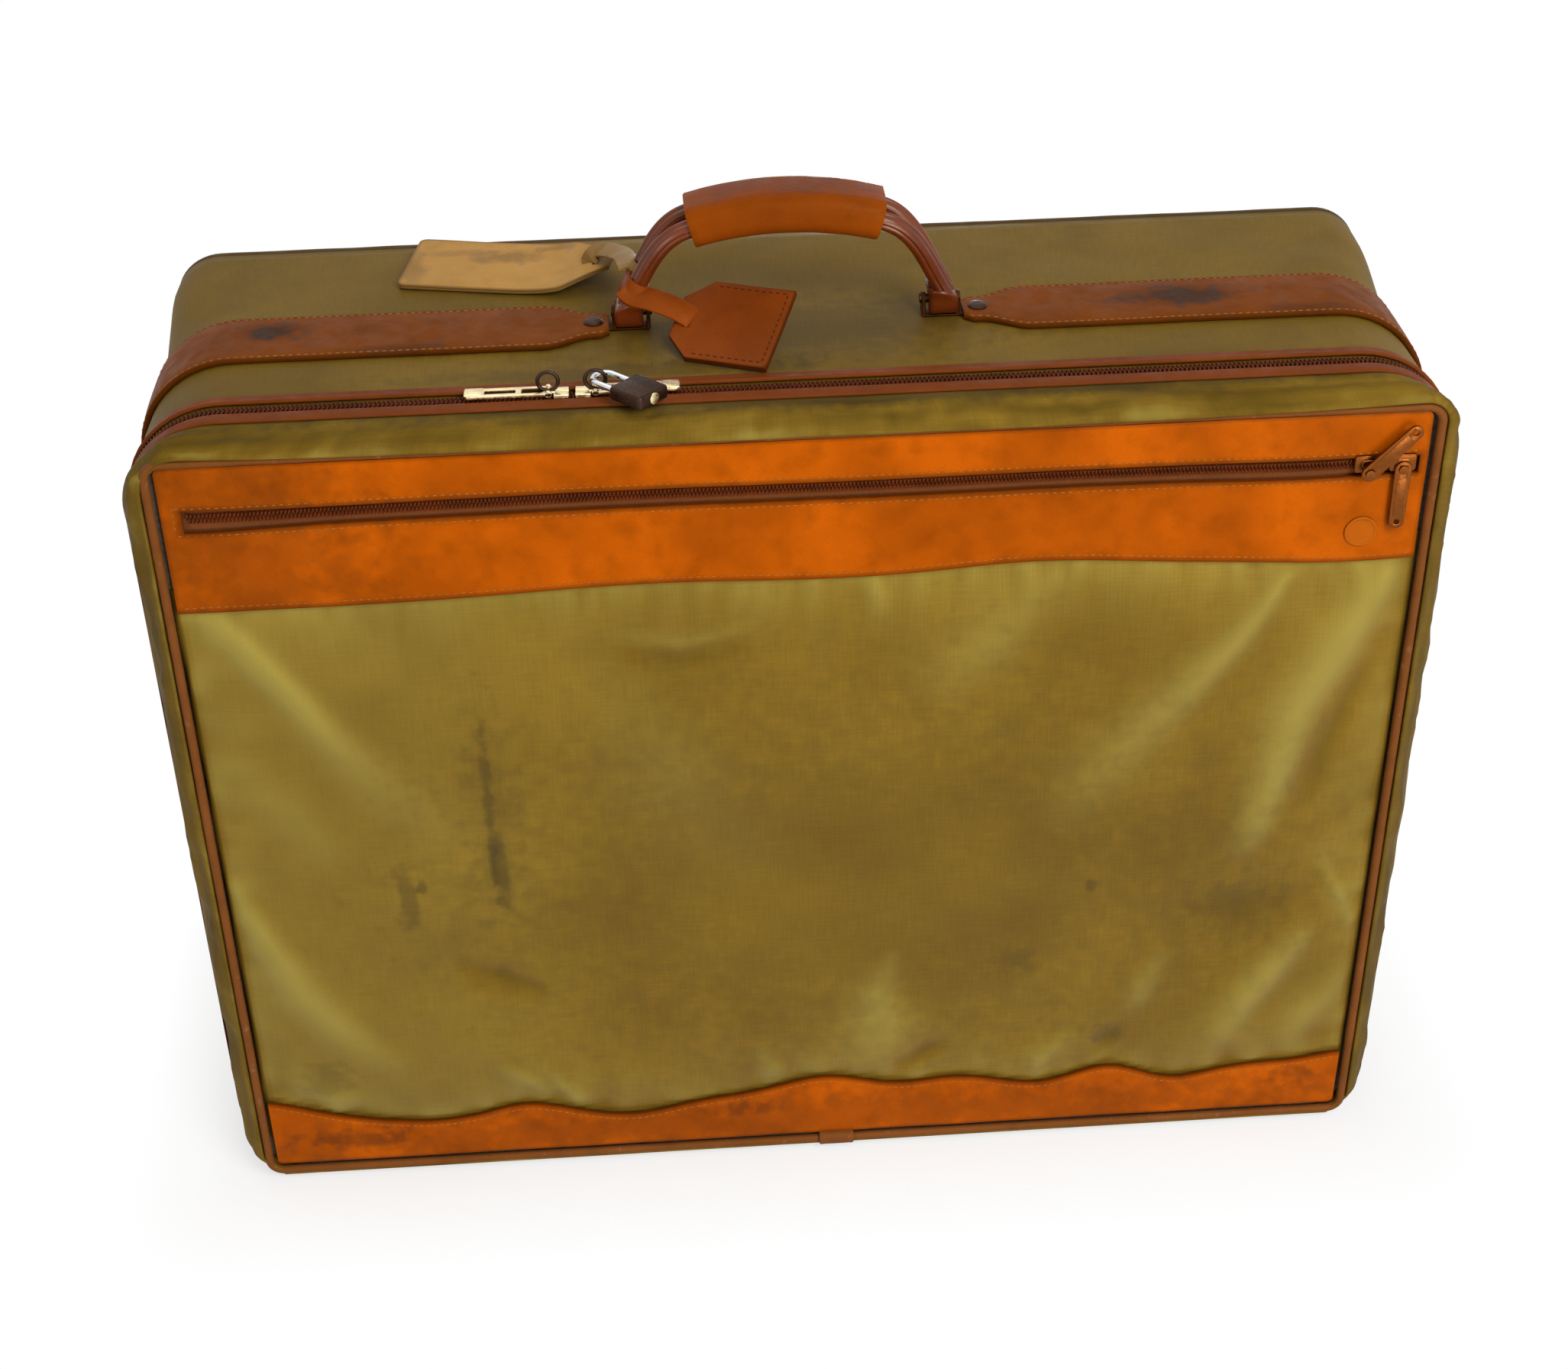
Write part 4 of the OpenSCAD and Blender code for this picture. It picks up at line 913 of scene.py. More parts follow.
def corner_drop(x):
    """How far a band's rounded corner falls away from its straight edge."""
    past = abs(x) - (BAND_HALF_W - BAND_CORNER_R)
    return 0 if past <= 0 else BAND_CORNER_R - math.sqrt(max(0, BAND_CORNER_R ** 2 - past ** 2))


def slit_half(x):
    """Half the height of the pocket zip's slit, which gapes at its left end."""
    return WINDOW_HALF_H + 1.3 * bump(x, WINDOW_LEFT, 40) + 0.5 * bump(x, 245, 50)


def zip_bow(x):
    """How far the pocket zip waves up or down."""
    return wavy(x, ZIP_WAVES) - 1.6


# Pieces, each group with the operator that makes it

# How far from the case's foot the floor still shows, in metres, and how it glows to read as white
SHADOW_REACH = 0.07
FLOOR_GLOW = 0.62
WHITE = (1, 1, 1, 1)

# How bright the surround is as a light, where the eye sees it as white
SURROUND = 0.3


def make_floor():
    """A wide pale floor that keeps the shadow round the case's foot and reads as white to the camera.
    Away from the foot the eye passes through it, so that the open lid shows where it hangs below."""
    bm = bmesh.new()
    bmesh.ops.create_grid(bm, x_segments=8, y_segments=8, size=9)
    mesh = bpy.data.meshes.new("floor")
    bm.to_mesh(mesh)
    bm.free()
    made, tree = new_tree("case_floor")
    place = add(tree, "TexCoord").outputs["Object"]
    tone = bpy.context.scene.travel_case_colours.floor
    paper = lay(tree, rgba(tone, 0.97), rgba(tone), speckle(tree, place, 160, 5))
    matt = add(tree, "BsdfDiffuse", {"Color": paper})
    glow = add(tree, "Emission", {"Color": WHITE, "Strength": FLOOR_GLOW})
    both = add(tree, "AddShader", {0: matt, 1: glow})
    rays, seen = sight(tree)
    solid = add(tree, "MixShader", {0: seen, 1: matt, 2: both})
    foot = (CASE_HALF_W * MM, BACK_Y * MM, 0)
    side = add(tree, "VectorMath", {0: place}, operation="ABSOLUTE")
    side = add(tree, "VectorMath", {0: side, 1: foot}, operation="SUBTRACT")
    side = add(tree, "VectorMath", {0: side, 1: (0, 0, 0)}, operation="MAXIMUM")
    far = add(tree, "VectorMath", {0: side}, operation="LENGTH").outputs["Value"]
    away = add(tree, "MapRange", {"Value": far, "From Max": SHADOW_REACH})
    passing = add(tree, "Math", {0: rays["Is Camera Ray"], 1: rays["Is Shadow Ray"]}, operation="MAXIMUM")
    clear = add(tree, "Math", {0: passing, 1: away}, operation="MULTIPLY")
    pool = add(tree, "MixShader", {0: clear, 1: solid, 2: add(tree, "BsdfTransparent")})
    add(tree, "OutputMaterial", {"Surface": pool})
    mesh.materials.append(made)
    floor = bpy.data.objects.new("studio_floor", mesh)
    bpy.context.scene.collection.objects.link(floor)


def make_world(scene):
    """A white surround for the eye and for reflections, dimmer as a light and dark from below."""
    world = bpy.data.worlds.new("studio_world")
    world.use_nodes = True
    tree = world.node_tree
    tree.nodes.clear()
    _, seen = sight(tree)
    way = add(tree, "SeparateXYZ", {0: add(tree, "TexCoord").outputs["Generated"]}).outputs["Z"]
    above = add(tree, "Math", {0: way, 1: 0.0}, operation="GREATER_THAN")
    dim = add(tree, "Math", {0: above, 1: SURROUND}, operation="MULTIPLY")
    level = add(tree, "Math", {0: seen, 1: dim}, operation="MAXIMUM")
    sky = add(tree, "Background", {"Color": WHITE, "Strength": level})
    add(tree, "OutputWorld", {"Surface": sky})
    scene.world = world


# Lamps: place and size in metres, and power in watts
LAMPS = {
    "key": ((0.9, -1.7, 2.0), 1.5, 36),
    "low_right": ((1.15, -2.5, 0.5), 1.1, 26),
    "low_left": ((-1.7, -2.2, 0.6), 1.1, 12),
    "top": ((-0.5, 0.7, 2.2), 1.8, 8),
    "back": ((0.4, 2.5, 0.22), 0.5, 15),
}


def make_lamp(name, place, size, power):
    """A large soft lamp that looks at the case."""
    lamp = bpy.data.lights.new(name + "_lamp", "AREA")
    lamp.shape = "DISK"
    lamp.size = size
    lamp.energy = power
    obj = bpy.data.objects.new(name + "_lamp", lamp)
    obj.location = place
    look = Vector((0, 0, CASE_H * MM / 2)) - Vector(place)
    obj.rotation_euler = look.to_track_quat("-Z", "Y").to_euler()
    bpy.context.scene.collection.objects.link(obj)


def make_camera(scene):
    """The camera where the photograph was taken from."""
    camera = bpy.data.cameras.new("photo_camera")
    camera.lens = CAMERA_LENS
    camera.sensor_width = 36
    camera.clip_start = 0.05
    camera.clip_end = 30
    obj = bpy.data.objects.new("photo_camera", camera)
    obj.location = CAMERA_AT * MM
    turn = Matrix.Rotation(CAMERA_TURN, 3, "Z") @ Matrix.Rotation(math.pi / 2 - CAMERA_TILT, 3, "X")
    obj.rotation_euler = (turn @ Matrix.Rotation(CAMERA_ROLL, 3, "Z")).to_euler()
    scene.collection.objects.link(obj)
    scene.camera = obj


class TRAVELCASE_OT_stage(bpy.types.Operator):
    """Floor, studio lights, white surround and the camera at the photograph's angle"""

    bl_idname = "travel_case.stage"
    bl_label = "Stage"

    def execute(self, context):
        scene = context.scene
        scene.view_settings.view_transform = "Standard"
        make_floor()
        make_world(scene)
        for name, values in LAMPS.items():
            make_lamp(name, *values)
        make_camera(scene)
        return {"FINISHED"}


def make_cover():
    """The cover round the sides, drawn tight at the zip and the back and slack between."""
    slack = chosen_mm("cover_slack")
    stations = OUTLINE.stations(7, 12)
    rows = 26
    depth = COVER_HIGH.y - COVER_LOW.y

    def place(i, j):
        y = COVER_LOW.y + 1.6 + (depth - 1.6) * j / rows
        point, out = back_outline(0, stations[i], ease((y - 20) / 75))
        free = ease((y - COVER_LOW.y - 9) / 20) * ease((COVER_HIGH.y - y) / 16 + 0.15)
        under_strap = 1 - ease((abs(y - HANDLE_Y) - STRAP_HALF_W - 1) / 14)
        swell = slack * (wave(point.x, 2.2 * y, point.z, 75) + 0.4 * wave(point.x, y, point.z, 28))
        push = -0.25 + free * swell * (1 - 0.8 * under_strap)
        if out.z < -0.5:
            push = -0.35
        push -= 1.3 * (1 - ease((y - COVER_LOW.y) / 5))
        return point + max(push, -1.7) * out + y * BACK

    bm = grid(len(stations) - 1, rows, place, (OUTLINE.total, depth))
    weld(bm)
    turn_out(bm, lambda p: Vector((p.x, 0, p.z - CASE_H / 2)))
    cover = piece(bm, "nylon_cover", "nylon", "case", ["gusset_cover"], 60)
    thicken(cover, COVER_T - 0.4)


def make_back():
    """The padded back, lower round its edge."""
    low, high = box_mm("back_panel")
    loop = RoundedLoop(high.x, low.z, high.z, CASE_CORNER_R - (CASE_HALF_W - high.x))
    inset = CASE_HALF_W - high.x
    stations = loop.stations(14, 8)
    rings = 24
    centre = Vector((0, 0, (low.z + high.z) / 2))

    def place(i, j):
        point, _ = back_outline(inset, stations[i])
        share = max(INNER_SHARE, 1 - (1 - j / rings) ** 1.6)
        p = centre + (point - centre) * share
        edge = (1 - share) * min((point - centre).length, 300)
        swell = ease(edge / 34) ** 0.6
        y = high.y - 4.2 * (1 - swell) - 0.5 * swell * (1 + wave(p.x, 0, p.z, 120))
        return p + y * BACK

    bm = grid(len(stations) - 1, rings, place)
    weld(bm)
    fill_middle(bm, centre)
    uv = bm.loops.layers.uv.active
    for face in bm.faces:
        for loop_corner in face.loops:
            loop_corner[uv].uv = (loop_corner.vert.co.x * MM, loop_corner.vert.co.z * MM)
    turn_out(bm, lambda p: BACK)
    back = piece(bm, "nylon_back", "nylon", "case", ["back_panel"], 60)
    thicken(back, COVER_T)


def make_hinge():
    """A folded strip along the foot of the zip, on which the lid turns."""
    half = (math.pi / 2 - ZIP_WRAP) * CASE_CORNER_R * 0.93 + OUTLINE.flat
    flap = 11
    count, rows = 90, 12

    def place(i, j):
        run, share = OUTLINE.find((OUTLINE.total - half + 2 * half * i / count) % OUTLINE.total)
        point, out = OUTLINE.at(run, share)
        across = flap * (2 * j / rows - 1)
        fold = bump(across, 0, 3.4)
        lift = -COVER_T - 0.4 + fold * 1.9 + 0.12 * wave(point.x, across, 0, 12) * fold
        return point + lift * out + (ZIP_Y + across) * BACK

    bm = grid(count, rows, place, (2 * half, 2 * flap))
    turn_out(bm, lambda p: -UP)
    strip = piece(bm, "nylon_hinge_strip", "nylon", None, ["hinge_strip"], 60)
    thicken(strip, 0.9)
    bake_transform(strip)


class TRAVELCASE_OT_rear_nylon(bpy.types.Operator):
    """Nylon of the rear section: the cover round the sides, the back and the folded hinge strip"""

    bl_idname = "travel_case.rear_nylon"
    bl_label = "Rear nylon"

    def execute(self, context):
        make_cover()
        make_back()
        make_hinge()
        return {"FINISHED"}


# The lid's side from the zip to the piping: depth, inset at the sides, foot, top, and corner radius
LID_SECTIONS = [
    (6.5, 1.2, 1.2, 1.2, 49), (10, -0.2, 0, -0.1, 50), (15, 0.1, 0, 0.2, 46), (19, 1.0, 0.1, 1.2, 38),
    (22, 2.2, 0.3, 2.6, 30), (25, 4.6, 1.0, 4.8, 22), (27.5, 7.8, 2.4, 7.4, 16), (29.3, 10.6, 4.0, 10.2, 12)]

# Flat width of that strip, and where it is pinched in at the top left corner
LID_STRIP_W = 27
LID_PINCH = Vector((-316, 0, 473))

# Soft folds of the pocket: points along each, with its half width there and its height from -1 to 1
POCKET_FOLDS = [
    [(300, 378, 9, 0.6), (281, 342, 14, 1), (259, 300, 16, 1), (253, 265, 13, 1), (244, 225, 12, 0.8),
     (234, 196, 9, 0)],
    [(248, 380, 6, 0.5), (222, 342, 9, 0.9), (186, 300, 14, 0.7), (155, 262, 19, 0.45), (130, 226, 22, 0)],
    [(126, 386, 10, 0.2), (94, 348, 18, 0.5), (52, 318, 22, 0)],
    [(-298, 388, 7, 0.5), (-283, 369, 9, 1), (-262, 340, 9, 1), (-243, 310, 11, 0.7), (-222, 280, 17, 0.35),
     (-172, 232, 22, 0)],
    [(-309, 216, 6, 0.4), (-297, 180, 9, 0.9), (-281, 142, 14, 0.8), (-262, 115, 13, 0.7),
     (-234, 84, 12, 0.2)],
    [(-304, 306, 10, 0.1), (-270, 262, 16, 0.35), (-240, 220, 20, 0)],
    [(-108, 350, 26, 0.1), (-70, 280, 34, 0.35), (-16, 200, 36, 0)],
    [(46, 146, 6, 0.3), (38, 116, 15, 0.8), (42, 90, 24, 0.8), (34, 66, 20, 0.3)],
    [(280, 143, 7, 0.5), (262, 118, 12, 0.9), (248, 97, 12, 0.9), (237, 70, 14, 0.5)],
    [(198, 134, 7, 0.3), (189, 110, 9, 0.6), (185, 92, 8, 0.1)],
    [(306, 104, 8, 0.4), (287, 84, 15, 0.65), (274, 64, 12, 0.3)],
    [(282, 199, 4, 0.2), (295, 175, 4.5, 0.7), (307, 148, 4, 0.4)],
    [(-150, 74, 4, 0.2), (-142, 62, 5, 0.7), (-134, 50, 6, 0.5)],
    [(-176, 78, 5, 0.2), (-160, 66, 6, 0.5), (-150, 56, 5, 0.2)],
    [(150, 76, 6, 0.2), (132, 60, 8, 0.6)], [(-30, 84, 7, 0.1), (-22, 62, 7, 0.6)],
    [(-290, 70, 12, 0.5), (-262, 58, 9, 0.3)],
    [(-98, 366, 4, 0.1), (-60, 359, 4.5, 0.4), (-28, 366, 4, 0.1)], [(36, 392, 4, 0.6), (40, 366, 5, 0.1)],
    [(-198, 158, 7, 0), (-172, 147, 10, -0.8), (-151, 135, 6, -0.5)],
    [(-102, 356, 5, 0), (-60, 347, 6, -0.5), (-24, 354, 5, 0)],
    [(196, 176, 14, 0), (242, 165, 22, -0.5), (284, 174, 16, -0.1)],
    [(80, 82, 6, 0), (70, 72, 6, -0.8), (54, 60, 6, -0.5)],
    [(304, 344, 8, -0.2), (288, 306, 8, -0.6), (274, 262, 8, -0.5), (266, 226, 7, 0)],
    [(180, 84, 5, 0), (172, 72, 6, -0.7), (166, 62, 5, -0.3)]]


def make_lid_side():
    """The strip from the zip to the piping, with creases along it and puckers at the seams."""
    loops = [RoundedLoop(CASE_HALF_W - side, low, CASE_H - top, r) for _, side, low, top, r in LID_SECTIONS]
    stations = OUTLINE.stations(4.5, 16)
    last = len(LID_SECTIONS) - 1
    fine = 3

    def place(i, j):
        k, f = min(j // fine, last - 1), j / fine - min(j // fine, last - 1)
        (p, out), (q, out_next) = loops[k].at(*stations[i]), loops[k + 1].at(*stations[i])
        point, out = p.lerp(q, f), out.lerp(out_next, f).normalized()
        d = LID_SECTIONS[k][0] + (LID_SECTIONS[k + 1][0] - LID_SECTIONS[k][0]) * f
        free = ease((d - 13) / 5) * ease((29.5 - d) / 4)
        crease = 1.9 * wave(point.x / 5, d * 1.9, point.z / 5, 9) + 0.8 * wave(point.x, d, point.z, 19)
        gather = wave(point.x, 3, point.z, 9) + 0.6 * wave(point.x, 8, point.z, 4.5)
        push = free * (crease + 1.5 * gather * ease((d - 17) / 8)) - 0.15
        pinch = bump((point - LID_PINCH).length, 0, 9) * ease((d - 16) / 9)
        push -= 4.5 * pinch
        run, share = stations[i]
        if run in (1, 7):
            push -= 3.5 * math.sin(math.pi * share) * ease((d - 12) / 12)
        if out.z < -0.5:
            push = min(push, -0.2)
        droop = ease((d - 22) / 7) * max(0, 1 - (point.x / 300) ** 4) if out.z > 0.7 else 0
        return point + push * out + (ZIP_Y - d - 1.3 * droop) * BACK - 2.3 * droop * UP

    # Value of the fold attribute: painted sheen and shade along the creases and gathers, darker overall and
    # on the right side, and lighter towards the piping
    def tone(i, j):
        d = LID_SECTIONS[0][0] + (LID_SECTIONS[last][0] - LID_SECTIONS[0][0]) * j / (last * fine)
        p, out = loops[0].at(*stations[i])
        crease_sheen_and_shade = 0.8 * wave(p.x / 5, d * 1.9, p.z / 5, 9) + 0.4 * wave(p.x, 3, p.z, 9) * ease((d - 17) / 8)
        crease_sheen_and_shade += 0.25 * wave(p.x, d, p.z, 4.5)
        return crease_sheen_and_shade - 0.42 - 0.35 * max(0, out.x) + 0.42 * ease((d - 22) / 6)

    bm = grid(len(stations) - 1, last * fine, place, (OUTLINE.total, LID_STRIP_W), fold=tone)
    weld(bm)
    turn_out(bm, lambda p: Vector((p.x, 0, p.z - CASE_H / 2)))
    side = piece(bm, "nylon_lid_side", "nylon", "lid", ["lid_gusset"], 60)
    thicken(side, COVER_T - 0.4)


def make_pocket():
    """The pocket's nylon, held at the bands and the piping and swelling between."""
    crown = chosen_mm("pocket_crown")
    cols, rows = 190, 120
    half_w = BAND_HALF_W + 2.2
    rest = POCKET_BACK_Y - POCKET_T
    fold_h = 3.8

    def along_fold(x, z, line):
        """How far a point is up on one fold: steep on its right, gentler on its left."""
        near, found = 1e9, 0
        for k in range(len(line) - 1):
            (ax, az, aw, ah), (bx, bz, bw, bh) = line[k], line[k + 1]
            dx, dz = bx - ax, bz - az
            t = ((x - ax) * dx + (z - az) * dz) / (dx * dx + dz * dz)
            over = max(0, -t, t - 1) * math.hypot(dx, dz)
            t = min(1, max(0, t))
            gap_x, gap_z = x - ax - t * dx, z - az - t * dz
            gap = math.hypot(gap_x, gap_z)
            if gap < near:
                wide = (aw + (bw - aw) * t) * (0.75 if gap_x > 0 else 1.0)
                fade = math.exp(-(gap / wide) ** 1.9) * math.exp(-over / 12)
                near, found = gap, (ah + (bh - ah) * t) * fade
        return found

    def folds(x, z):
        return sum(along_fold(x, z, line) for line in POCKET_FOLDS)

    def spot(i, j):
        x = half_w * (2 * i / cols - 1)
        z = POCKET_LOW.z + (POCKET_HIGH.z - POCKET_LOW.z) * j / rows
        return x, z, pocket_band_low(x) - z, z - bottom_band_high(x), half_w - abs(x)

    def height(i, j):
        x, z, under, over, beside = spot(i, j)
        gather = 0.5 * wave(x, 0.3 * z, 0, 9) * math.exp(-max(0.0, under) / 15) * ease(under / 3)
        gather += 0.6 * wave(x, 50 + 0.4 * z, 0, 14) * math.exp(-max(0.0, over) / 18) * ease(over / 3)
        gather += 0.6 * wave(0.5 * x, 90, z, 15) * math.exp(-max(0.0, beside) / 18) * ease(beside / 3)
        return ease(min(under, over, beside) / 12 + 0.25) * folds(x, z) + gather

    # Value of the fold attribute: the folds' heights, laid by the finish as painted sheen on ridges and
    # painted shade in hollows; glow, painted sheen below the pocket band, along the bottom band and the
    # sides, and lighter towards the left; dark, painted shadow in the narrow gaps beside the piping and
    # above the bottom band
    def tone(i, j):
        x, _, under, over, beside = spot(i, j)
        glow = 0.2 * ease((-90 - x) / 130) + 0.45 * math.exp(-max(0.0, under) / 16)
        glow += 0.35 * math.exp(-max(0.0, min(over, beside)) / 18)
        dark = 1.6 * (1 - ease((beside - 1.5) / 2.5)) + 1.3 * (1 - ease(abs(over) / 3.4))
        return height(i, j) + glow - dark

    def place(i, j):
        x, z, under, over, beside = spot(i, j)
        free = 1.0
        for room, reach in ((under, 19), (over, 24), (beside, 24)):
            free *= 1 - math.exp(-max(0.0, room) / reach)
        soft = 1.5 * wave(x, 30, z, 120) + 0.8 * wave(x + 0.6 * z, 60, z, 48) + 0.35 * wave(x, 10, z, 16)
        return Vector((x, rest - free * (crown + soft) - fold_h * height(i, j), z))

    bm = grid(cols, rows, place, (2 * half_w, POCKET_HIGH.z - POCKET_LOW.z), fold=tone)
    turn_out(bm, lambda p: FRONT)
    pocket = piece(bm, "nylon_pocket", "pocket", "lid", ["pocket_fabric"], 70)
    thicken(pocket, POCKET_T - 0.3)


class TRAVELCASE_OT_lid_nylon(bpy.types.Operator):
    """Nylon of the lid: the puckered strip round its side and the swelling front pocket"""

    bl_idname = "travel_case.lid_nylon"
    bl_label = "Lid nylon"

    def execute(self, context):
        make_lid_side()
        make_pocket()
        return {"FINISHED"}


def make_tray(node, body, way):
    """A tray from its rim to its sheet; way is 1 where the sheet lies to the back."""
    low, high = box_mm(node)
    rim_y, sheet_y = (low.y, high.y) if way > 0 else (high.y, low.y)
    r = CASE_CORNER_R - (CASE_HALF_W - high.x)
    loop = RoundedLoop(high.x, low.z, high.z, r)
    tight = RoundedLoop(high.x - 6, low.z + 4, high.z - 5, r)
    stations = loop.stations(12, 10)
    wall, rings = 14, 20
    centre = Vector((0, 0, (low.z + high.z) / 2))

    def place(i, j):
        point, out = loop.at(*stations[i])
        inner, _ = (tight if way < 0 else loop).at(*stations[i])
        if j <= wall:
            share = j / wall
            ripple = 0.3 * (wave(point.x, 40 * share, point.z, 30) - 1)
            return point.lerp(inner, share) + ripple * out + (rim_y + (sheet_y - rim_y) * share) * BACK
        share = max(INNER_SHARE, 1 - (j - wall) / rings)
        p = centre + (inner - centre) * share
        ripple = (1 - share ** 6) * (1.2 + 0.9 * wave(p.x, 0, p.z, 60))
        return p + (sheet_y - way * ripple) * BACK

    bm = grid(len(stations) - 1, wall + rings, place, (loop.total, 600))
    weld(bm)
    fill_middle(bm, centre)
    turn_out(bm, lambda p: Vector((-p.x * 0.3, -way * 200, CASE_H / 2 - p.z)))
    tray = piece(bm, node.replace("lining", "tray"), "lining", body, [node], 60)
    thicken(tray, 0.8)


class TRAVELCASE_OT_linings(bpy.types.Operator):
    """Lining cloth of both halves: trays with a soft, slightly rippled face"""

    bl_idname = "travel_case.linings"
    bl_label = "Linings"

    def execute(self, context):
        make_tray("rear_lining", "case", 1)
        make_tray("lid_lining", "lid", -1)
        return {"FINISHED"}


def make_piping(name, loop, y, r, body, node, key, sway):
    """A covered cord round a loop, a little uneven as sewn piping is."""
    stations = loop.stations(6, 12)
    frames = loop.frames(stations, y)
    if key == "back_piping":
        found = [back_outline(r, station) for station in stations]
        frames = [(point + y * BACK, BACK, out) for point, out in found]

    def profile(i):
        p = frames[i][0]
        shift = sway * wave(p.x, 0, p.z, 55) if abs(p.z) > 20 else 0
        size = 0.97 + 0.05 * wave(p.x, 20, p.z, 22)
        if key == "piping":
            size *= 0.86 - 0.24 * ease((p.z - PIPING_TOP + 4) / 4) * (1 - (p.x / 330) ** 8)
        return [(a * size, b * size + shift * 0.6) for a, b in circle(r, 14)]

    cord = sweep(frames, profile, (loop.total, 2 * math.pi * r), loop=True)
    piece(cord, name, key, body, [node], 60)


def make_sleeve():
    """A short leather sleeve with folded ends."""
    low, high = box_mm("piping_sleeve")
    axis = (low + high) / 2
    r = (high.y - low.y) / 2
    rings = [(0, 0.93), (0.6, 1.0), (1.5, 1.03), (2.6, 0.99), (6, 1.0), (14, 1.01), (17.4, 0.99),
             (18.5, 1.03), (19.4, 1.0), (20, 0.93)]
    frames = [(Vector((low.x + x, axis.y, axis.z)), BACK, UP) for x, _ in rings]
    sleeve = sweep(frames, lambda i: circle(r * rings[i][1] + 0.2, 20), (20, 27))
    piece(sleeve, "leather_piping_sleeve", "piping", "lid", ["piping_sleeve"])


class TRAVELCASE_OT_piping(bpy.types.Operator):
    """Leather piping round the front panel and the back, and the sleeve over its joint"""

    bl_idname = "travel_case.piping"
    bl_label = "Piping"

    def execute(self, context):
        front = RoundedLoop(PIPING_HALF_W, PIPING_FOOT, PIPING_TOP, PIPING_BEND_R)
        make_piping("leather_front_piping", front, PIPING_Y, PIPING_R, "lid",
                    "front_piping", "piping", 0.35)
        low, high = box_mm("back_piping")
        back = RoundedLoop(high.x - BACK_PIPING_R, low.z + BACK_PIPING_R, high.z - BACK_PIPING_R,
                           CASE_CORNER_R - BACK_PIPING_R)
        make_piping("leather_back_piping", back, BACK_Y - BACK_PIPING_R, BACK_PIPING_R, "case",
                    "back_piping", "back_piping", 0.5)
        make_sleeve()
        return {"FINISHED"}


def band_columns(extra=()):
    """Places across a band, closer together at its rounded corners."""
    inner = BAND_HALF_W - BAND_CORNER_R
    corner = [inner + BAND_CORNER_R * math.sin(math.radians(a)) for a in (22, 40, 56, 70, 81, 90)]
    plain = [-inner + 2 * inner * k / 96 for k in range(97)]
    found = sorted([*plain, *corner, *[-x for x in corner], *extra])
    return [x for k, x in enumerate(found) if k == 0 or x - found[k - 1] > 0.05]


def make_pocket_band():
    """The wide upper band with the zip's window cut in it."""
    xs = band_columns((WINDOW_LEFT, WINDOW_LEFT + 1.2, WINDOW_RIGHT, WINDOW_RIGHT - 1.2))
    low_rows, slit_rows, high_rows = 14, 2, 6
    rows = low_rows + slit_rows + high_rows

    def height(x, j):
        low, high = pocket_band_low(x), BAND_TOP - corner_drop(x)
        sill, lintel = POCKET_ZIP.z - slit_half(x), POCKET_ZIP.z + slit_half(x)
        if j <= low_rows:
            share = j / low_rows
            return low + (sill - low) * share + zip_bow(x) * share ** 2
        if j <= low_rows + slit_rows:
            return sill + (lintel - sill) * (j - low_rows) / slit_rows + zip_bow(x)
        share = (j - low_rows - slit_rows) / high_rows
        return lintel + (high - lintel) * share + zip_bow(x) * (1 - share) ** 2

    def near_window(x, z):
        inside = max(WINDOW_LEFT - x, x - WINDOW_RIGHT, abs(z - POCKET_ZIP.z) - slit_half(x))
        return abs(inside)

    def place(i, j):
        x = xs[i]
        z = height(x, j)
        lip = 0.5 * math.exp(-near_window(x, z - zip_bow(x)) / 3)
        swell = 0.35 * wave(x, 0, z, 45) + lip
        return Vector((x, BAND_FRONT - swell, z))

    def rim(i, j):
        x = xs[i]
        z = height(x, j)
        return min(near_window(x, z - zip_bow(x)), abs(z - pocket_band_low(x)), BAND_TOP - z + 1.0,
                   BAND_HALF_W - abs(x) + 1.0)

    bm = grid(len(xs) - 1, rows, place, (2 * BAND_HALF_W, 80), rim)
    middles = [(f, f.calc_center_median()) for f in bm.faces]
    hidden = [f for f, p in middles if WINDOW_LEFT < p.x < WINDOW_RIGHT
              and abs(p.z - zip_bow(p.x) - POCKET_ZIP.z) < 0.8 * slit_half(p.x)]
    bmesh.ops.delete(bm, geom=hidden, context="FACES")
    turn_out(bm, lambda p: FRONT)
    band = piece(bm, "leather_pocket_band", "tan", "lid", ["pocket_band"], 50)
    thicken(band, BAND_T - 0.2, 0.7)


def make_bottom_band():
    """The lower band with its wavy upper edge."""
    xs = band_columns()
    rows = 12

    def height(x, j):
        low, high = BOTTOM_BAND_LOW + corner_drop(x), bottom_band_high(x)
        return low + (high - low) * j / rows

    def place(i, j):
        x = xs[i]
        z = height(x, j)
        return Vector((x, BAND_FRONT - 0.4 * wave(x, 7, z, 40) - 0.3, z))

    def rim(i, j):
        return min(bottom_band_high(xs[i]) - height(xs[i], j), height(xs[i], j) - BOTTOM_BAND_LOW + 1)

    bm = grid(len(xs) - 1, rows, place, (2 * BAND_HALF_W, 36), rim)
    turn_out(bm, lambda p: FRONT)
    band = piece(bm, "leather_bottom_band", "tan", "lid", ["bottom_band"], 50)
    thicken(band, BAND_T - 0.2, 0.7)


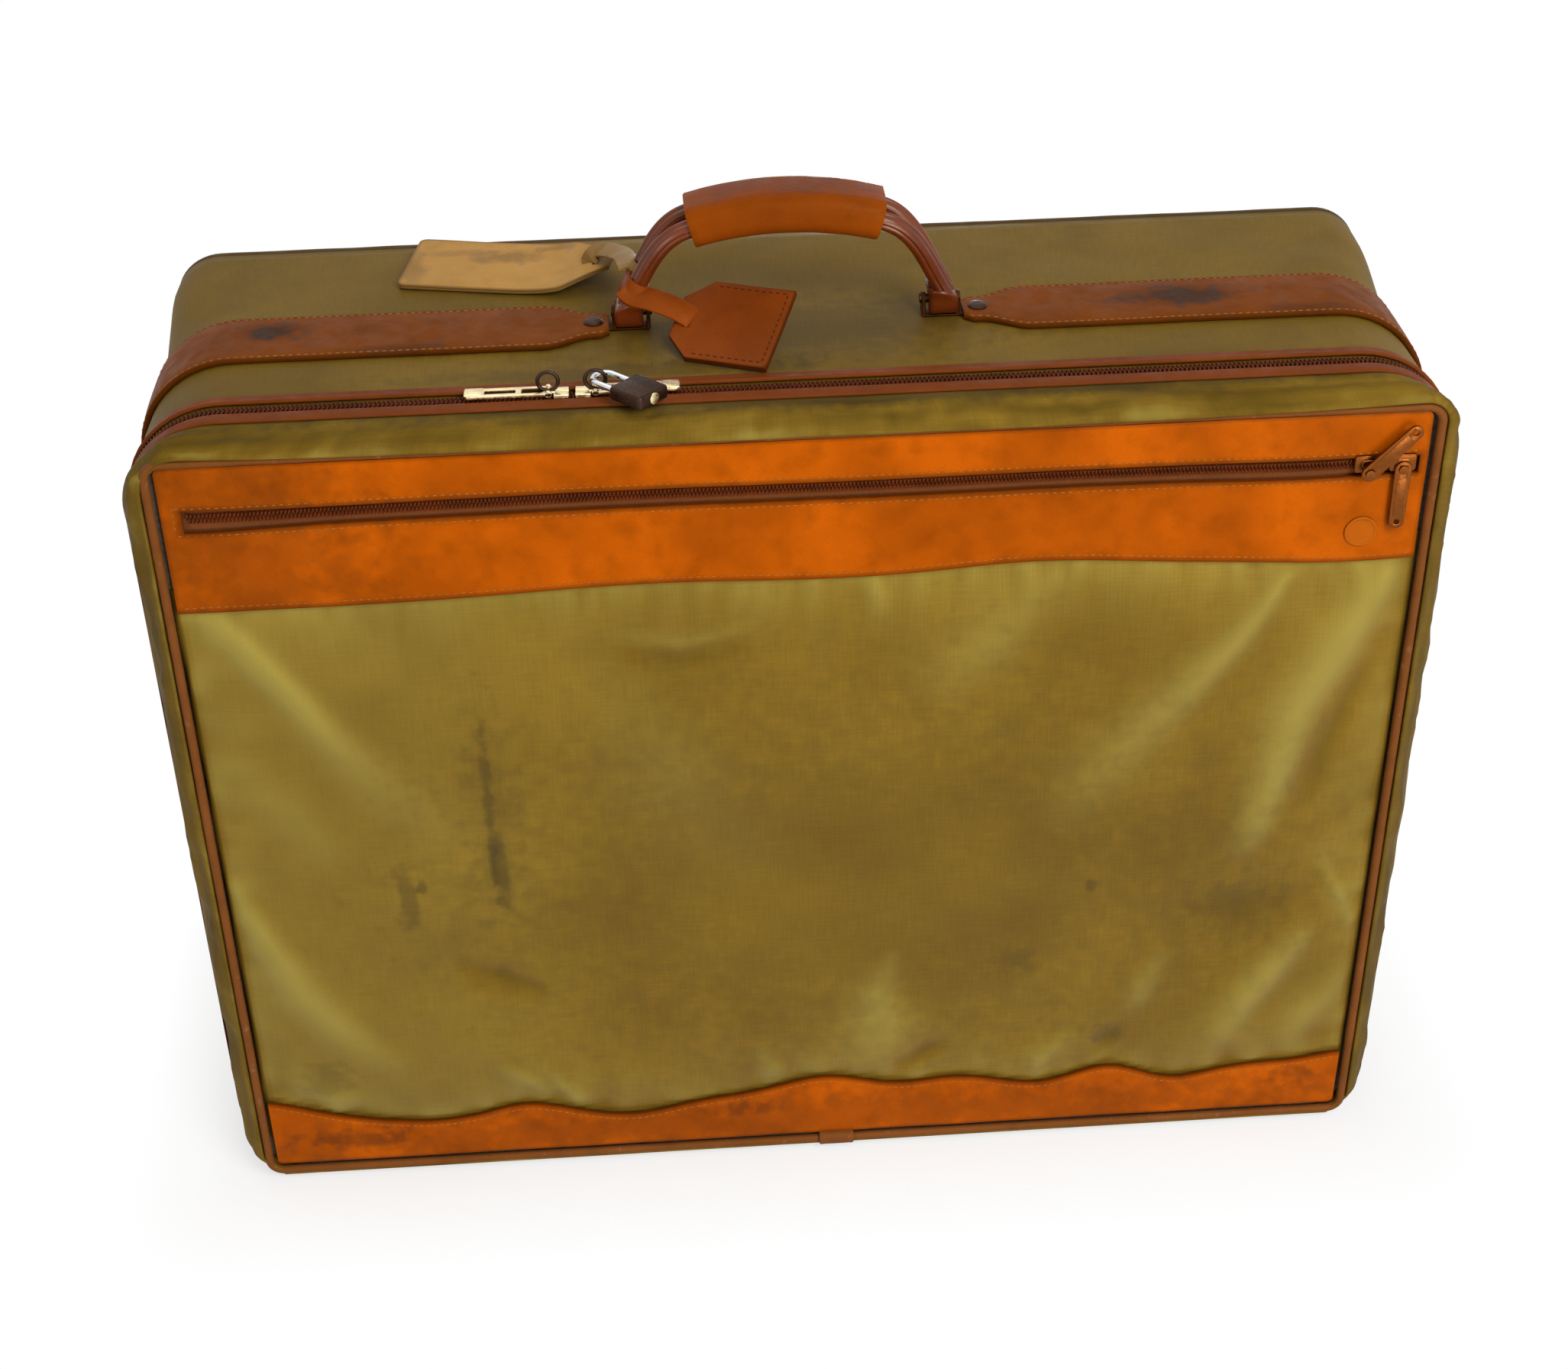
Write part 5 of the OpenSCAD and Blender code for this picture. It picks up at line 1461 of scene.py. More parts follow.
def make_disc():
    """A bare disc of leather with a raised rim, pressed on to the band."""
    low, high = box_mm("leather_disc")
    centre = (low + high) / 2
    r = (high.x - low.x) / 2
    rings = [(1.0, 0.2), (1.0, 0.75), (0.96, 1.0), (0.88, 1.05), (0.82, 0.85), (0.7, 0.72), (0.35, 0.85),
             (0, 0.9)]
    frames = [(Vector((centre.x, high.y - out, centre.z)), RIGHT, UP) for _, out in rings]
    # Distance to a dark edge for each ring: the foot's cut edge is burnished darker, and the dip inside the
    # raised rim is darkened as painted shade
    worn = [0.2, 0.3, 1.0, 3.0, 0.4, 2.0, 3.0, 3.0]
    disc = sweep(frames, lambda i: circle(max(r * rings[i][0], 0.02), 40), (50, 10), lambda i, j: worn[i])
    piece(disc, "leather_disc_bare", "disc", "lid", ["leather_disc"])


def make_band_stitches():
    """Rows of thread along the bands' edges and round the zip's window."""
    step = chosen_mm("stitch_step")
    bm = bmesh.new()
    y = BAND_FRONT - 0.35

    def line(height):
        return lambda x: Vector((x, y, height(x)))

    off = WINDOW_HALF_H + 2.6
    rows = [(line(lambda x: pocket_band_low(x) + STITCH_INSET), -BAND_HALF_W + 3, BAND_HALF_W - 3),
            (line(lambda x: POCKET_ZIP.z + off + zip_bow(x)), WINDOW_LEFT - 4, BAND_HALF_W - 5),
            (line(lambda x: POCKET_ZIP.z - off + zip_bow(x)), WINDOW_LEFT - 4, BAND_HALF_W - 5),
            (line(lambda x: bottom_band_high(x) - STITCH_INSET), -BAND_HALF_W + 3, BAND_HALF_W - 3),
            (lambda z: Vector((WINDOW_LEFT - 4, y, z)), POCKET_ZIP.z - off, POCKET_ZIP.z + off)]
    for point, start, end in rows:
        stitch_row(bm, row_frames(point, start, end, step, FRONT))
    piece(bm, "thread_band_stitches", "thread", "lid")


class TRAVELCASE_OT_bands(bpy.types.Operator):
    """Leather bands of the front, the bare leather disc and their stitching"""

    bl_idname = "travel_case.bands"
    bl_label = "Leather bands"

    def execute(self, context):
        make_pocket_band()
        make_bottom_band()
        make_disc()
        make_band_stitches()
        return {"FINISHED"}


def zip_frames(stations, way):
    """Frames along the zip whose sideways direction leads away from it."""
    return [(p, way * BACK, out) for p, _, out in OUTLINE.frames(stations, ZIP_Y)]


def make_welt(way, body, side):
    """A leather welt with a rolled edge at the zip and a thin sewn edge beyond."""
    stations = zip_stations(6)
    frames = zip_frames(stations, way)
    rolled = 1.0 if way > 0 else 0.55
    shape = [(5.3, 0.1), (5.0, 0.6), (5.1, 1.2 * rolled + 0.3), (5.7, 1.7 * rolled + 0.3),
             (6.7, 1.8 * rolled + 0.2), (8.0, 1.25), (10.5, 1.1), (12.9, 1.05), (13.7, 0.8), (14.0, 0.4),
             (13.9, 0.1), (9.5, 0.08)]
    from_edge = [0.4, 0.8, 3, 3, 3, 3, 3, 1.2, 0.6, 0.2, 0.2, 3, 0.4]

    def profile(i):
        p = frames[i][0]
        shift = 0.25 * wave(p.x, way * 5, p.z, 30)
        return [(a + shift * (a > 5.6), b) for a, b in shape]

    welt = sweep(frames, profile, (ZIP_LEN, 24), lambda i, j: from_edge[j])
    piece(welt, "leather_welt_" + side, "welt", body, ["zip_welt_" + side], 60)


def make_zip_tape(way, body, side):
    """The woven tape that the coil is sewn to."""
    stations = zip_stations(8)
    frames = zip_frames(stations, way)
    shape = [(3.2, -2.3), (12.4, -2.2), (12.4, -2.8), (3.2, -2.9)]
    tape = sweep(frames, lambda i: shape, (ZIP_LEN, 20))
    piece(tape, "woven_tape_" + side, "tape", body, ["zip_tape_" + side])


def make_zip_coil(way, body, side):
    """One coil: a flattened spiral of nylon wire whose turns mesh with the other's."""
    pitch = chosen_mm("coil_pitch")
    turns = int(ZIP_LEN / pitch) - 2
    per_turn, wire_r = 8, 0.46
    start = ZIP_START + pitch * (1 if way > 0 else 1.5)
    frames = []
    for k in range(turns * per_turn + 1):
        turn = 2 * math.pi * k / per_turn
        point, out = OUTLINE.at(*OUTLINE.find(start + pitch * k / per_turn))
        across, lift = 1.72 - 1.42 * math.cos(turn), -0.45 + 0.75 * math.sin(turn)
        middle = point + (ZIP_Y + way * across) * BACK + lift * out
        along = out.cross(BACK)
        spoke = (way * -math.cos(turn) * BACK + math.sin(turn) * out).normalized()
        frames.append((middle, along, spoke))
    coil = sweep(frames, lambda i: circle(wire_r, 5), (ZIP_LEN, 3))
    piece(coil, "nylon_coil_" + side, "coil", body, ["zip_chain_" + side], 70)


class TRAVELCASE_OT_main_zip(bpy.types.Operator):
    """Main zip: leather welts, woven tapes and the two meshing coils"""

    bl_idname = "travel_case.main_zip"
    bl_label = "Main zip"

    def execute(self, context):
        for way, body, side in ((1, "case", "rear"), (-1, "lid", "lid")):
            make_welt(way, body, side)
            make_zip_tape(way, body, side)
            make_zip_coil(way, body, side)
        return {"FINISHED"}


# How far below the zip's middle a pocket slider's post stands
POST_DROP = 3


def make_pocket_tape():
    """The tape behind the window, folded up beside the coils."""
    low, high = box_mm("pocket_zip_tape")
    xs = [low.x + (high.x - low.x) * k / 80 for k in range(81)]
    shape = [(-12.5, 0.1), (-6, 0.2), (-3.4, 0.9), (3.4, 0.9), (6, 0.2), (12.5, 0.1), (12.5, -0.5),
             (-12.5, -0.5)]
    frames = [(Vector((x, low.y + 0.6, POCKET_ZIP.z + zip_bow(x))), UP, FRONT) for x in xs]
    tape = sweep(frames, lambda i: shape, (high.x - low.x, 52))
    piece(tape, "woven_pocket_tape", "pocket_tape", "lid", ["pocket_zip_tape"])


def make_pocket_coil():
    """Two meshing coils along the window."""
    pitch = chosen_mm("pocket_coil_pitch")
    long = POCKET_CHAIN_HIGH.x - POCKET_CHAIN_LOW.x
    turns, per_turn = int(long / pitch) - 1, 8
    bm = bmesh.new()
    for way in (1, -1):
        frames = []
        for k in range(turns * per_turn + 1):
            turn = 2 * math.pi * k / per_turn
            x = POCKET_CHAIN_LOW.x + 0.6 + pitch * (k / per_turn + (0.5 if way < 0 else 0))
            across, lift = 1.3 - 1.1 * math.cos(turn), 0.8 * math.sin(turn)
            height = POCKET_ZIP.z + zip_bow(x) + 0.9 + way * across
            middle = Vector((x, POCKET_CHAIN_LOW.y + 1.5 - lift, height))
            spoke = (way * -math.cos(turn) * UP + math.sin(turn) * FRONT).normalized()
            frames.append((middle, RIGHT, spoke))
        join(bm, sweep(frames, lambda i: circle(0.44, 5), (long, 3)))
    piece(bm, "nylon_pocket_coil", "coil", "lid", ["pocket_zip_chain"], 70)


def make_pocket_slider(side):
    """A slider plate with rolled flanges, a bridge and a headed post."""
    node = "pocket_slider_" + side
    low, high = box_mm(node)
    x = (low.x + high.x) / 2
    z = POCKET_ZIP.z
    back = high.y
    plate_t = 2.2
    bm = block((x - 6.8, back - plate_t + 0.1, z - 4.3), (x + 6.8, back, z + 4.3), 0.9, 3)
    join(bm, block((x - 6.2, back - plate_t + 0.2, z - 4.6), (x + 6.2, back - 0.2, z - 3.2), 0.5))
    join(bm, block((x - 6.2, back - plate_t + 0.2, z + 3.2), (x + 6.2, back - 0.2, z + 4.6), 0.5))
    join(bm, block((x - 3.4, back - plate_t - 0.35, z - 1.6), (x + 3.4, back - 1.4, z + 2.4), 0.7, 3))
    post = [(1.55, 0), (1.55, back - low.y - 0.9), (2.1, back - low.y - 0.75), (2.45, back - low.y - 0.4),
            (2.3, back - low.y - 0.1), (1.2, back - low.y)]
    frames = [(Vector((x, back - out, z - POST_DROP)), RIGHT, UP) for _, out in post]
    join(bm, sweep(frames, lambda i: circle(post[i][0], 20), (8, 8)))
    piece(bm, "brass_" + node, "copper", node, [node], 35)


def make_pocket_pull(side, turn):
    """A flat pull with two holes and a shallow sunk face."""
    node = "pocket_pull_" + side
    low, high = box_mm(node)
    slider = middle_mm("pocket_slider_" + side)
    root, tip, long = 4.3, 3.9, 33.5
    outline = arc(root, 0, 180, 15) + arc(tip, 180, 360, 15, 0, tip - long)
    holes = [circle(1.75, 20), [(a, b + tip - long) for a, b in circle(1.4, 16)]]
    bm = plate(outline, holes, high.y - low.y, 0.35)
    join(bm, block((-2.6, -26.3, high.y - low.y - 0.25), (2.6, -5.2, high.y - low.y + 0.22), 0.2))
    place = (Matrix.Translation((slider.x, high.y, POCKET_ZIP.z - POST_DROP))
             @ Matrix.Rotation(turn, 4, "Y") @ Matrix.Rotation(math.pi / 2, 4, "X"))
    bmesh.ops.transform(bm, matrix=place, verts=bm.verts)
    piece(bm, "brass_" + node, "copper", node, [node], 35)


class TRAVELCASE_OT_pocket_zip(bpy.types.Operator):
    """Pocket zip: tape, coils, and two copper sliders with their pulls"""

    bl_idname = "travel_case.pocket_zip"
    bl_label = "Pocket zip"

    def execute(self, context):
        make_pocket_tape()
        make_pocket_coil()
        for side, turn in (("left", -137), ("right", 0)):
            make_pocket_slider(side)
            make_pocket_pull(side, math.radians(turn))
        return {"FINISHED"}


def strap_half_width(x):
    """Half the strap's width, by the distance from the case's middle."""
    past = x - STRAP_TIP_X
    neck = 9.5 + 3.6 * ease(past / 5)
    return neck + (STRAP_HALF_W - neck) * ease((past - 8) / 25)


def make_strap(side, node, stitches):
    """A strap from its tip over the corner and down the side, with a row of thread near each edge."""
    end = sum(OUTLINE.lengths[:4]) + OUTLINE.flat - STRAP_TIP_X
    foot = sum(OUTLINE.lengths[:2]) + STRAP_FOOT - CASE_CORNER_R
    count = 170
    thick = STRAP_T - 0.1
    groove_in = 2.2

    def width_at(distance):
        return strap_half_width(STRAP_TIP_X + (end - distance))

    def lie(distance):
        point, out = OUTLINE.at(*OUTLINE.find(distance))
        sway = 0.5 * wave(distance, side * 40, 0, 60)
        return Vector((side * point.x, HANDLE_Y + sway, point.z)), BACK, Vector((side * out.x, 0, out.z))

    distances = [end + (foot - end) * (k / count) ** 1.25 for k in range(count + 1)]
    frames = [lie(distance) for distance in distances]
    widths = [width_at(distance) for distance in distances]

    def profile(i):
        w = widths[i]
        ripple = 0.18 * wave(i * 2.0, side * 9, 0, 18)
        top_half = [(w - 0.5, 0.08), (w, 0.7), (w, thick - 1.0), (w - 0.4, thick - 0.35),
                    (w - 1.3, thick - 0.1), (w - groove_in, thick - 0.32), (w - 3.2, thick - 0.08),
                    (w * 0.55, thick + 0.12 + ripple), (w * 0.2, thick + 0.2 + ripple)]
        return top_half + [(-a, b) for a, b in reversed(top_half)]

    def rim(i, j):
        from_edge = [0.2, 0.2, 0.3, 0.5, 1.2, 1.0, 3, 8, 10]
        return min((from_edge + from_edge[::-1])[j % 18], 0.3 + 1.2 * i)

    strap = sweep(frames, profile, (end - foot, 100), rim)
    piece(strap, "leather_" + node, "strap", "case", [node], 50)
    step = chosen_mm("stitch_step")
    row = []
    for k in range(int((end - foot - 8) / step)):
        distance = end - 4 - k * step
        origin, across, out = lie(distance)
        groove = width_at(distance) - groove_in
        for edge in (-groove, groove):
            row.append((origin + edge * across + (thick - 0.15) * out, across, out))
    stitch_row(stitches, row)


class TRAVELCASE_OT_straps(bpy.types.Operator):
    """Top straps: stitched leather with burnished edges, narrowed tips and marks of old residue"""

    bl_idname = "travel_case.straps"
    bl_label = "Top straps"

    def execute(self, context):
        stitches = bmesh.new()
        for side, node in ((1, "strap_right"), (-1, "strap_left")):
            make_strap(side, node, stitches)
        piece(stitches, "thread_strap_stitches", "thread", "case")
        return {"FINISHED"}


def make_bracket(side, node):
    """A low plate with two round ears that hold the pin."""
    low, high = box_mm("handle_bracket_right")
    half_y = (high.y - low.y) / 2 - 4.6
    inner, outer = low.x, PIN_END_X
    bm = block((inner + 1, HANDLE_Y - half_y, low.z), (high.x - 6, HANDLE_Y + half_y, low.z + 1.2), 0.4)
    ear = [(-4.6, low.z + 0.8), (-3.3, PIN.z - 0.5), *arc(3.4, 180, 0, 10, 0, PIN.z), (3.3, PIN.z - 0.5),
           (4.6, low.z + 0.8)]
    for x in (inner + 0.5, outer - 2):
        frames = [(Vector((x + dx, HANDLE_Y, 0)), BACK, UP) for dx in (0, 0.3, 1.7, 2.0)]
        join(bm, sweep(frames, lambda i: [(a * (1 if i in (1, 2) else 0.93), b) for a, b in ear], (2, 30)))
    if side < 0:
        bmesh.ops.scale(bm, vec=(-1, 1, 1), verts=bm.verts)
        bmesh.ops.recalc_face_normals(bm, faces=bm.faces)
    piece(bm, "bronze_" + node, "dark_bronze", "case", [node], 35)


def make_grip():
    """Leather wrapped round the cords: a fold along the top, rolled lips and hollow ends."""
    count = 44
    inside = [(1.0, 0.84), (0.997, 0.9), (1.0, 0.97), (0.985, 1.005)]
    turns = [GRIP_ANGLE * (2 * k / count - 1) for k in range(count + 1)]
    ring_turns = [-GRIP_ANGLE * 0.9, *[-GRIP_ANGLE * a for a, _ in inside], *turns[2:-2],
                  *[GRIP_ANGLE * a for a, _ in reversed(inside)], GRIP_ANGLE * 0.9]
    grow = [0.8, *[s for _, s in inside], *[1.0] * (count - 3), *[s for _, s in reversed(inside)], 0.8]
    frames = [(at_handle(t)[0], BACK, at_handle(t)[1]) for t in ring_turns]
    base = rounded_rect(GRIP_HALF_W, -GRIP_T / 2, GRIP_T / 2, 8.4, 7)

    def profile(i):
        turn = ring_turns[i] / GRIP_ANGLE
        swell = grow[i] * (1 + 0.015 * (1 - turn ** 2))
        found = []
        for a, b in base:
            groove = 0.5 * bump(a, 6.5, 0.9) * (b > 5) + 0.55 * bump(a, -3.5, 1.0) * (b < -5)
            step = 0.35 * ease((a - 6.5) / 1.2) * (b > 0)
            edge = 1 - (groove - step) / 12
            wrinkle = 1 + 0.008 * wave(turn * 60, a, b, 9)
            found.append((a * swell * wrinkle, b * swell * edge * wrinkle))
        return found

    grip = sweep(frames, profile, (2 * GRIP_ANGLE * GRIP_ARCH_R, 92))
    piece(grip, "leather_grip", "grip", "handle", ["handle_grip"], 50)


def make_handle_cord(side, node):
    """A rolled leather cord with a sewn ridge, swept along the handle's arch."""
    bend = [math.pi / 2 - (math.pi / 2 - GRIP_ANGLE) * k / 26 for k in range(27)]
    turns = [-t for t in bend] + [GRIP_ANGLE * (k / 6 - 1) for k in range(1, 12)] + bend[::-1]
    frames = []
    for t in turns:
        point, out = at_handle(t)
        frames.append((point + side * cord_offset(t) * BACK, side * BACK, out))

    def ridge(a):
        seam = math.degrees(a)
        dips = sum(0.17 * bump(seam, middle, 8) for middle in (62, 118, 350))
        return 1 + 0.12 * bump(seam, 90, 12) - dips - 0.1 * bump(seam, 200, 14)

    shape = circle(CORD_R, 44, ridge)

    def profile(i):
        pinch = 1 + 0.012 * wave(i * 3.0, side * 7, 0, 9)
        return [(a * pinch, b * pinch) for a, b in shape]

    cord = sweep(frames, profile, (210, 34))
    piece(cord, "leather_" + node.replace("handle_", ""), "cord", "handle", [node], 60)


def make_handle_end(side, node):
    """Leather that gathers the two cords and folds round the pin."""
    sections = [(7.6, 5.6, 10.2, 5.0), (6.8, 6.2, 10.5, 5.4), (5.4, 6.8, 10.2, 5.0), (3.8, 7.2, 9.4, 4.4),
                (2.0, 7.3, 8.8, 3.6), (0, 7.35, 8.6, 3.0), (-2.6, 7.35, 8.1, 2.8), (-5.0, 7.3, 6.9, 2.4),
                (-6.6, 7.1, 5.4, 1.6), (-7.2, 6.6, 4.2, 0.8)]
    lean = 1 / math.tan(CORD_END_SLOPE)
    frames = [(Vector((side * (END_X - 1.2 - lean * max(0, z - 3)), HANDLE_Y, PIN.z + z)), RIGHT, BACK)
              for z, *_ in sections]

    def profile(i):
        _, half_x, half_y, r = sections[i]
        return rounded_rect(half_x, -half_y, half_y, min(r, half_x, half_y) * 0.98, 5)

    end = sweep(frames, profile, (16, 50))
    piece(end, "leather_" + node, "cord", "handle", [node], 60)


class TRAVELCASE_OT_handle(bpy.types.Operator):
    """Carrying handle: wrapped leather grip, two seamed rolled cords, their ends and the brackets"""

    bl_idname = "travel_case.handle"
    bl_label = "Handle"

    def execute(self, context):
        make_grip()
        for side, node in ((-1, "handle_cord_front"), (1, "handle_cord_back")):
            make_handle_cord(side, node)
        for side, node in ((-1, "handle_end_left"), (1, "handle_end_right")):
            make_handle_end(side, node)
        for side, node in ((-1, "handle_bracket_left"), (1, "handle_bracket_right")):
            make_bracket(side, node)
        return {"FINISHED"}


def settle(bm, place):
    """Moves a shape from its own frame to its place on the case, and turns its faces outwards."""
    bmesh.ops.transform(bm, matrix=place, verts=bm.verts)
    bmesh.ops.recalc_face_normals(bm, faces=bm.faces)


def make_main_slider(side, place):
    """A slider: two cheeks with a seam between, side guides, tongue, cross pin and ring."""
    node = "main_slider_" + side
    bm = block((-7.0, -4.6, 1.12), (0.6, -0.25, 2.75), 0.5, 3)
    join(bm, block((-7.0, 0.25, 1.12), (0.6, 4.6, 2.75), 0.5, 3))
    join(bm, block((-6.6, -3.8, 1.12), (0.3, 3.8, 2.45), 0.3))
    for y in (-4.6, 3.4):
        join(bm, block((-6.8, y, -0.75), (0.4, y + 1.2, 2.2), 0.35))
    join(bm, block((-0.4, -1.7, 1.2), (6.0, 1.7, 3.4), 0.6, 3))
    pin = [(Vector((HOOK_X, y, HOOK_LIFT)), RIGHT, UP) for y in (-4.3, -4.0, 4.0, 4.3)]
    join(bm, sweep(pin, lambda i: circle(0.88 if i in (1, 2) else 0.6, 14), (9, 6)))
    settle(bm, place)
    piece(bm, "brass_" + node, "brass", "slider_" + side, [node], 35)
    steps = 48
    ring = []
    for k in range(steps + 1):
        t = 2 * math.pi * k / steps
        out = Vector((math.cos(t), 0, math.sin(t)))
        ring.append((Vector((HOOK_X, 0, RING_LIFT)) + RING_R * out, BACK, out))
    hoop = sweep(ring, lambda i: circle(RING_WIRE_R, 12), (31, 6), loop=True)
    settle(hoop, place)
    piece(hoop, "bronze_ring_" + side, "bronze", "slider_" + side)


def make_main_pull(side, place):
    """A long pull: fork over the ring, cross bar, and a blade with a window and a thick end."""
    node = "main_pull_" + side
    w, leg = PULL_HALF_W, 2.6
    root, crotch, chamfer = -1.7, 13, 1.5
    outline = [(root, -w), (PULL_LEN - chamfer, -w), (PULL_LEN, chamfer - w), (PULL_LEN, w - chamfer),
               (PULL_LEN - chamfer, w), (root, w), (root, leg), (crotch, leg), (crotch, -leg), (root, -leg)]
    window = [(16, -1.9), (31, -1.9), (31, 1.9), (16, 1.9)]
    bm = plate(outline, [window], PULL_T, 0.4)
    join(bm, block((31.6, 0.4 - w, PULL_T - 0.4), (PULL_LEN - 0.4, w - 0.4, PULL_T + 0.5), 0.4))
    for y in (-(w + leg) / 2, (w + leg) / 2):
        eye = [(Vector((0, y + dy, PULL_T / 2)), RIGHT, UP) for dy in (-0.9, -0.7, 0.7, 0.9)]
        join(bm, sweep(eye, lambda i: circle(1.75 if i in (1, 2) else 1.5, 16), (2, 10)))
    bmesh.ops.translate(bm, vec=(HOOK_X, 0, HOOK_LIFT - PULL_T / 2), verts=bm.verts)
    settle(bm, place)
    piece(bm, "brass_" + node, "brass", "pull_" + side, [node], 35)


class TRAVELCASE_OT_sliders(bpy.types.Operator):
    """Main zip sliders with lock rings, and their long forked pulls"""

    bl_idname = "travel_case.sliders"
    bl_label = "Main sliders"

    def execute(self, context):
        for side, nose in (("left", LEFT_NOSE_X), ("right", RIGHT_NOSE_X)):
            place = Matrix.Translation((nose, ZIP_Y, CASE_H))
            if side == "left":
                place = place @ Matrix.Diagonal((-1, 1, 1, 1))
            make_main_slider(side, place)
            make_main_pull(side, place)
        return {"FINISHED"}


def make_shackle(place):
    """A bent rod: two legs and a round bow."""
    long = LOCK_START + 10.8
    frames = [(Vector((x, BOW_R, 0)), BACK, UP) for x in (long, long * 0.7, long * 0.4, long * 0.15)]
    for k in range(25):
        t = math.pi * k / 24
        out = Vector((-math.sin(t), math.cos(t), 0))
        frames.append((BOW_R * out, out, UP))
    frames += [(Vector((x, -BOW_R, 0)), -BACK, UP) for x in (long * 0.15, long * 0.4, long * 0.7, long)]
    rod = sweep(frames, lambda i: circle(ROD_R, 16), (65, 10))
    bmesh.ops.transform(rod, matrix=place, verts=rod.verts)
    piece(rod, "steel_shackle", "steel", "shackle", ["padlock_shackle"], 60)


def make_lock_body(place):
    """A case with wide bevels, a collar round each leg and a shallow frame on its faces."""
    half_t = LOCK_T / 2
    end = LOCK_START + LOCK_LEN
    bm = block((LOCK_START, -LOCK_HALF_W, -half_t + 0.1), (end, LOCK_HALF_W, half_t - 0.1), 1.9, 4)
    rail = 2.6
    inner_w = LOCK_HALF_W - rail
    join(bm, block((LOCK_START + rail, -inner_w, -half_t), (end - rail, inner_w, half_t), 0.5))
    for y in (-BOW_R, BOW_R):
        collar = [(Vector((LOCK_START + x, y, 0)), BACK, UP) for x in (0.9, -0.2, -0.5)]
        join(bm, sweep(collar, lambda i: circle([2.5, 2.5, 2.1][i], 20), (2, 12)))
    bmesh.ops.transform(bm, matrix=place, verts=bm.verts)
    piece(bm, "bronze_lock_body", "bronze", "lock", ["padlock_body"], 35)


def make_lock_plug(place):
    """The round plug in the lock's end, with its key slit."""
    end = LOCK_START + LOCK_LEN
    rings = [(-2.0, 2.9), (0.2, 2.9), (0.38, 2.6)]
    frames = [(Vector((end + x, 0, 0)), BACK, UP) for x, _ in rings]
    bm = sweep(frames, lambda i: circle(rings[i][1], 24), (3, 18))
    join(bm, block((end + 0.1, -1.7, -0.3), (end + 0.45, 1.7, 0.3), 0.1))
    bmesh.ops.transform(bm, matrix=place, verts=bm.verts)
    piece(bm, "brass_lock_plug", "brass", "lock", ["padlock_plug"], 35)


class TRAVELCASE_OT_padlock(bpy.types.Operator):
    """Padlock: bright shackle, dark bevelled body and key plug"""

    bl_idname = "travel_case.padlock"
    bl_label = "Padlock"

    def execute(self, context):
        place = Matrix.Translation(LOCK_AT) @ Matrix.Rotation(LOCK_TURN, 4, "Z")
        make_shackle(place)
        make_lock_body(place)
        make_lock_plug(place)
        return {"FINISHED"}


def make_leaf(xs, half_width, at, lift, thick, slot_box, name, key, body, node, curl):
    """One leaf of a tag: a bent sheet of leather with a slot and burnished edges."""
    rows = 22
    slot_share = 4 / 11
    slot_start, slot_end, slot_half = slot_box

    def across(i, j):
        share = 2 * j / rows - 1
        w = half_width(xs[i])
        near = [-1, -slot_half / w, slot_half / w, 1]
        marks = [-1, -slot_share, slot_share, 1]
        k = 0 if share < marks[1] - 1e-6 else 1 if share <= marks[2] + 1e-6 else 2
        f = (share - marks[k]) / (marks[k + 1] - marks[k])
        return w * (near[k] + (near[k + 1] - near[k]) * f)

    def place(i, j):
        y = across(i, j)
        return at(xs[i], y, lift + thick + curl(xs[i], y))

    def rim(i, j):
        y = across(i, j)
        return min(half_width(xs[i]) - abs(y), xs[i] - xs[0], xs[-1] - xs[i])

    bm = grid(len(xs) - 1, rows, place, (xs[-1] - xs[0], 52), rim)
    low_row, high_row = round(rows * (1 - slot_share) / 2), round(rows * (1 + slot_share) / 2)
    first, last = xs.index(slot_start), xs.index(slot_end)
    inside = {tuple(round(c, 3) for c in place(i, j)) for i in range(first, last + 1)
              for j in range(low_row, high_row + 1)}
    hidden = [f for f in bm.faces if all(tuple(round(c, 3) for c in v.co) in inside for v in f.verts)]
    bmesh.ops.delete(bm, geom=hidden, context="FACES")
    turn_out(bm, lambda p: UP)
    leaf = piece(bm, name, key, body, [node], 50)
    thicken(leaf, thick, 0.35)


def make_name_tag():
    """Two bare leaves of natural leather, narrowed to a slotted end."""
    right = NAME_TAG_LEFT + NAME_TAG_LEN
    xs = [NAME_TAG_LEFT + d for d in (0, 0.3, 1.0, 2.2, 4.0, 7)]
    xs += [NAME_TAG_LEFT + 7 + (right - 10 - NAME_TAG_LEFT - 7) * k / 30 for k in range(1, 30)]
    xs += [right - 10, right - 6.6, right - 4, right - 2, right]

    def half_width(x):
        from_left, from_right = x - NAME_TAG_LEFT, right - x
        w = NAME_TAG_HALF_W
        if from_left < 4:
            w -= 4 - math.sqrt(max(0, 16 - (4 - from_left) ** 2))
        narrow = 9 + (NAME_TAG_HALF_W - 9) * min(1, from_right / 24)
        return min(w, narrow)

    def curl(x, y):
        rise = 8 * ease((x - 6) / 62) ** 2
        return 0.5 * (1 + wave(x, y, 3, 40)) + rise + 0.9 * bump(x, right, 20) * (y / 26) ** 2

    for node, lift in (("name_tag_back", 0), ("name_tag_top", NAME_LEAF_T + 0.05)):
        make_leaf(xs, half_width, at_name_tag, lift, NAME_LEAF_T, (right - 10, right - 6.6, 5.5),
                  "leather_" + node, "pale", "name_tag", node, curl)


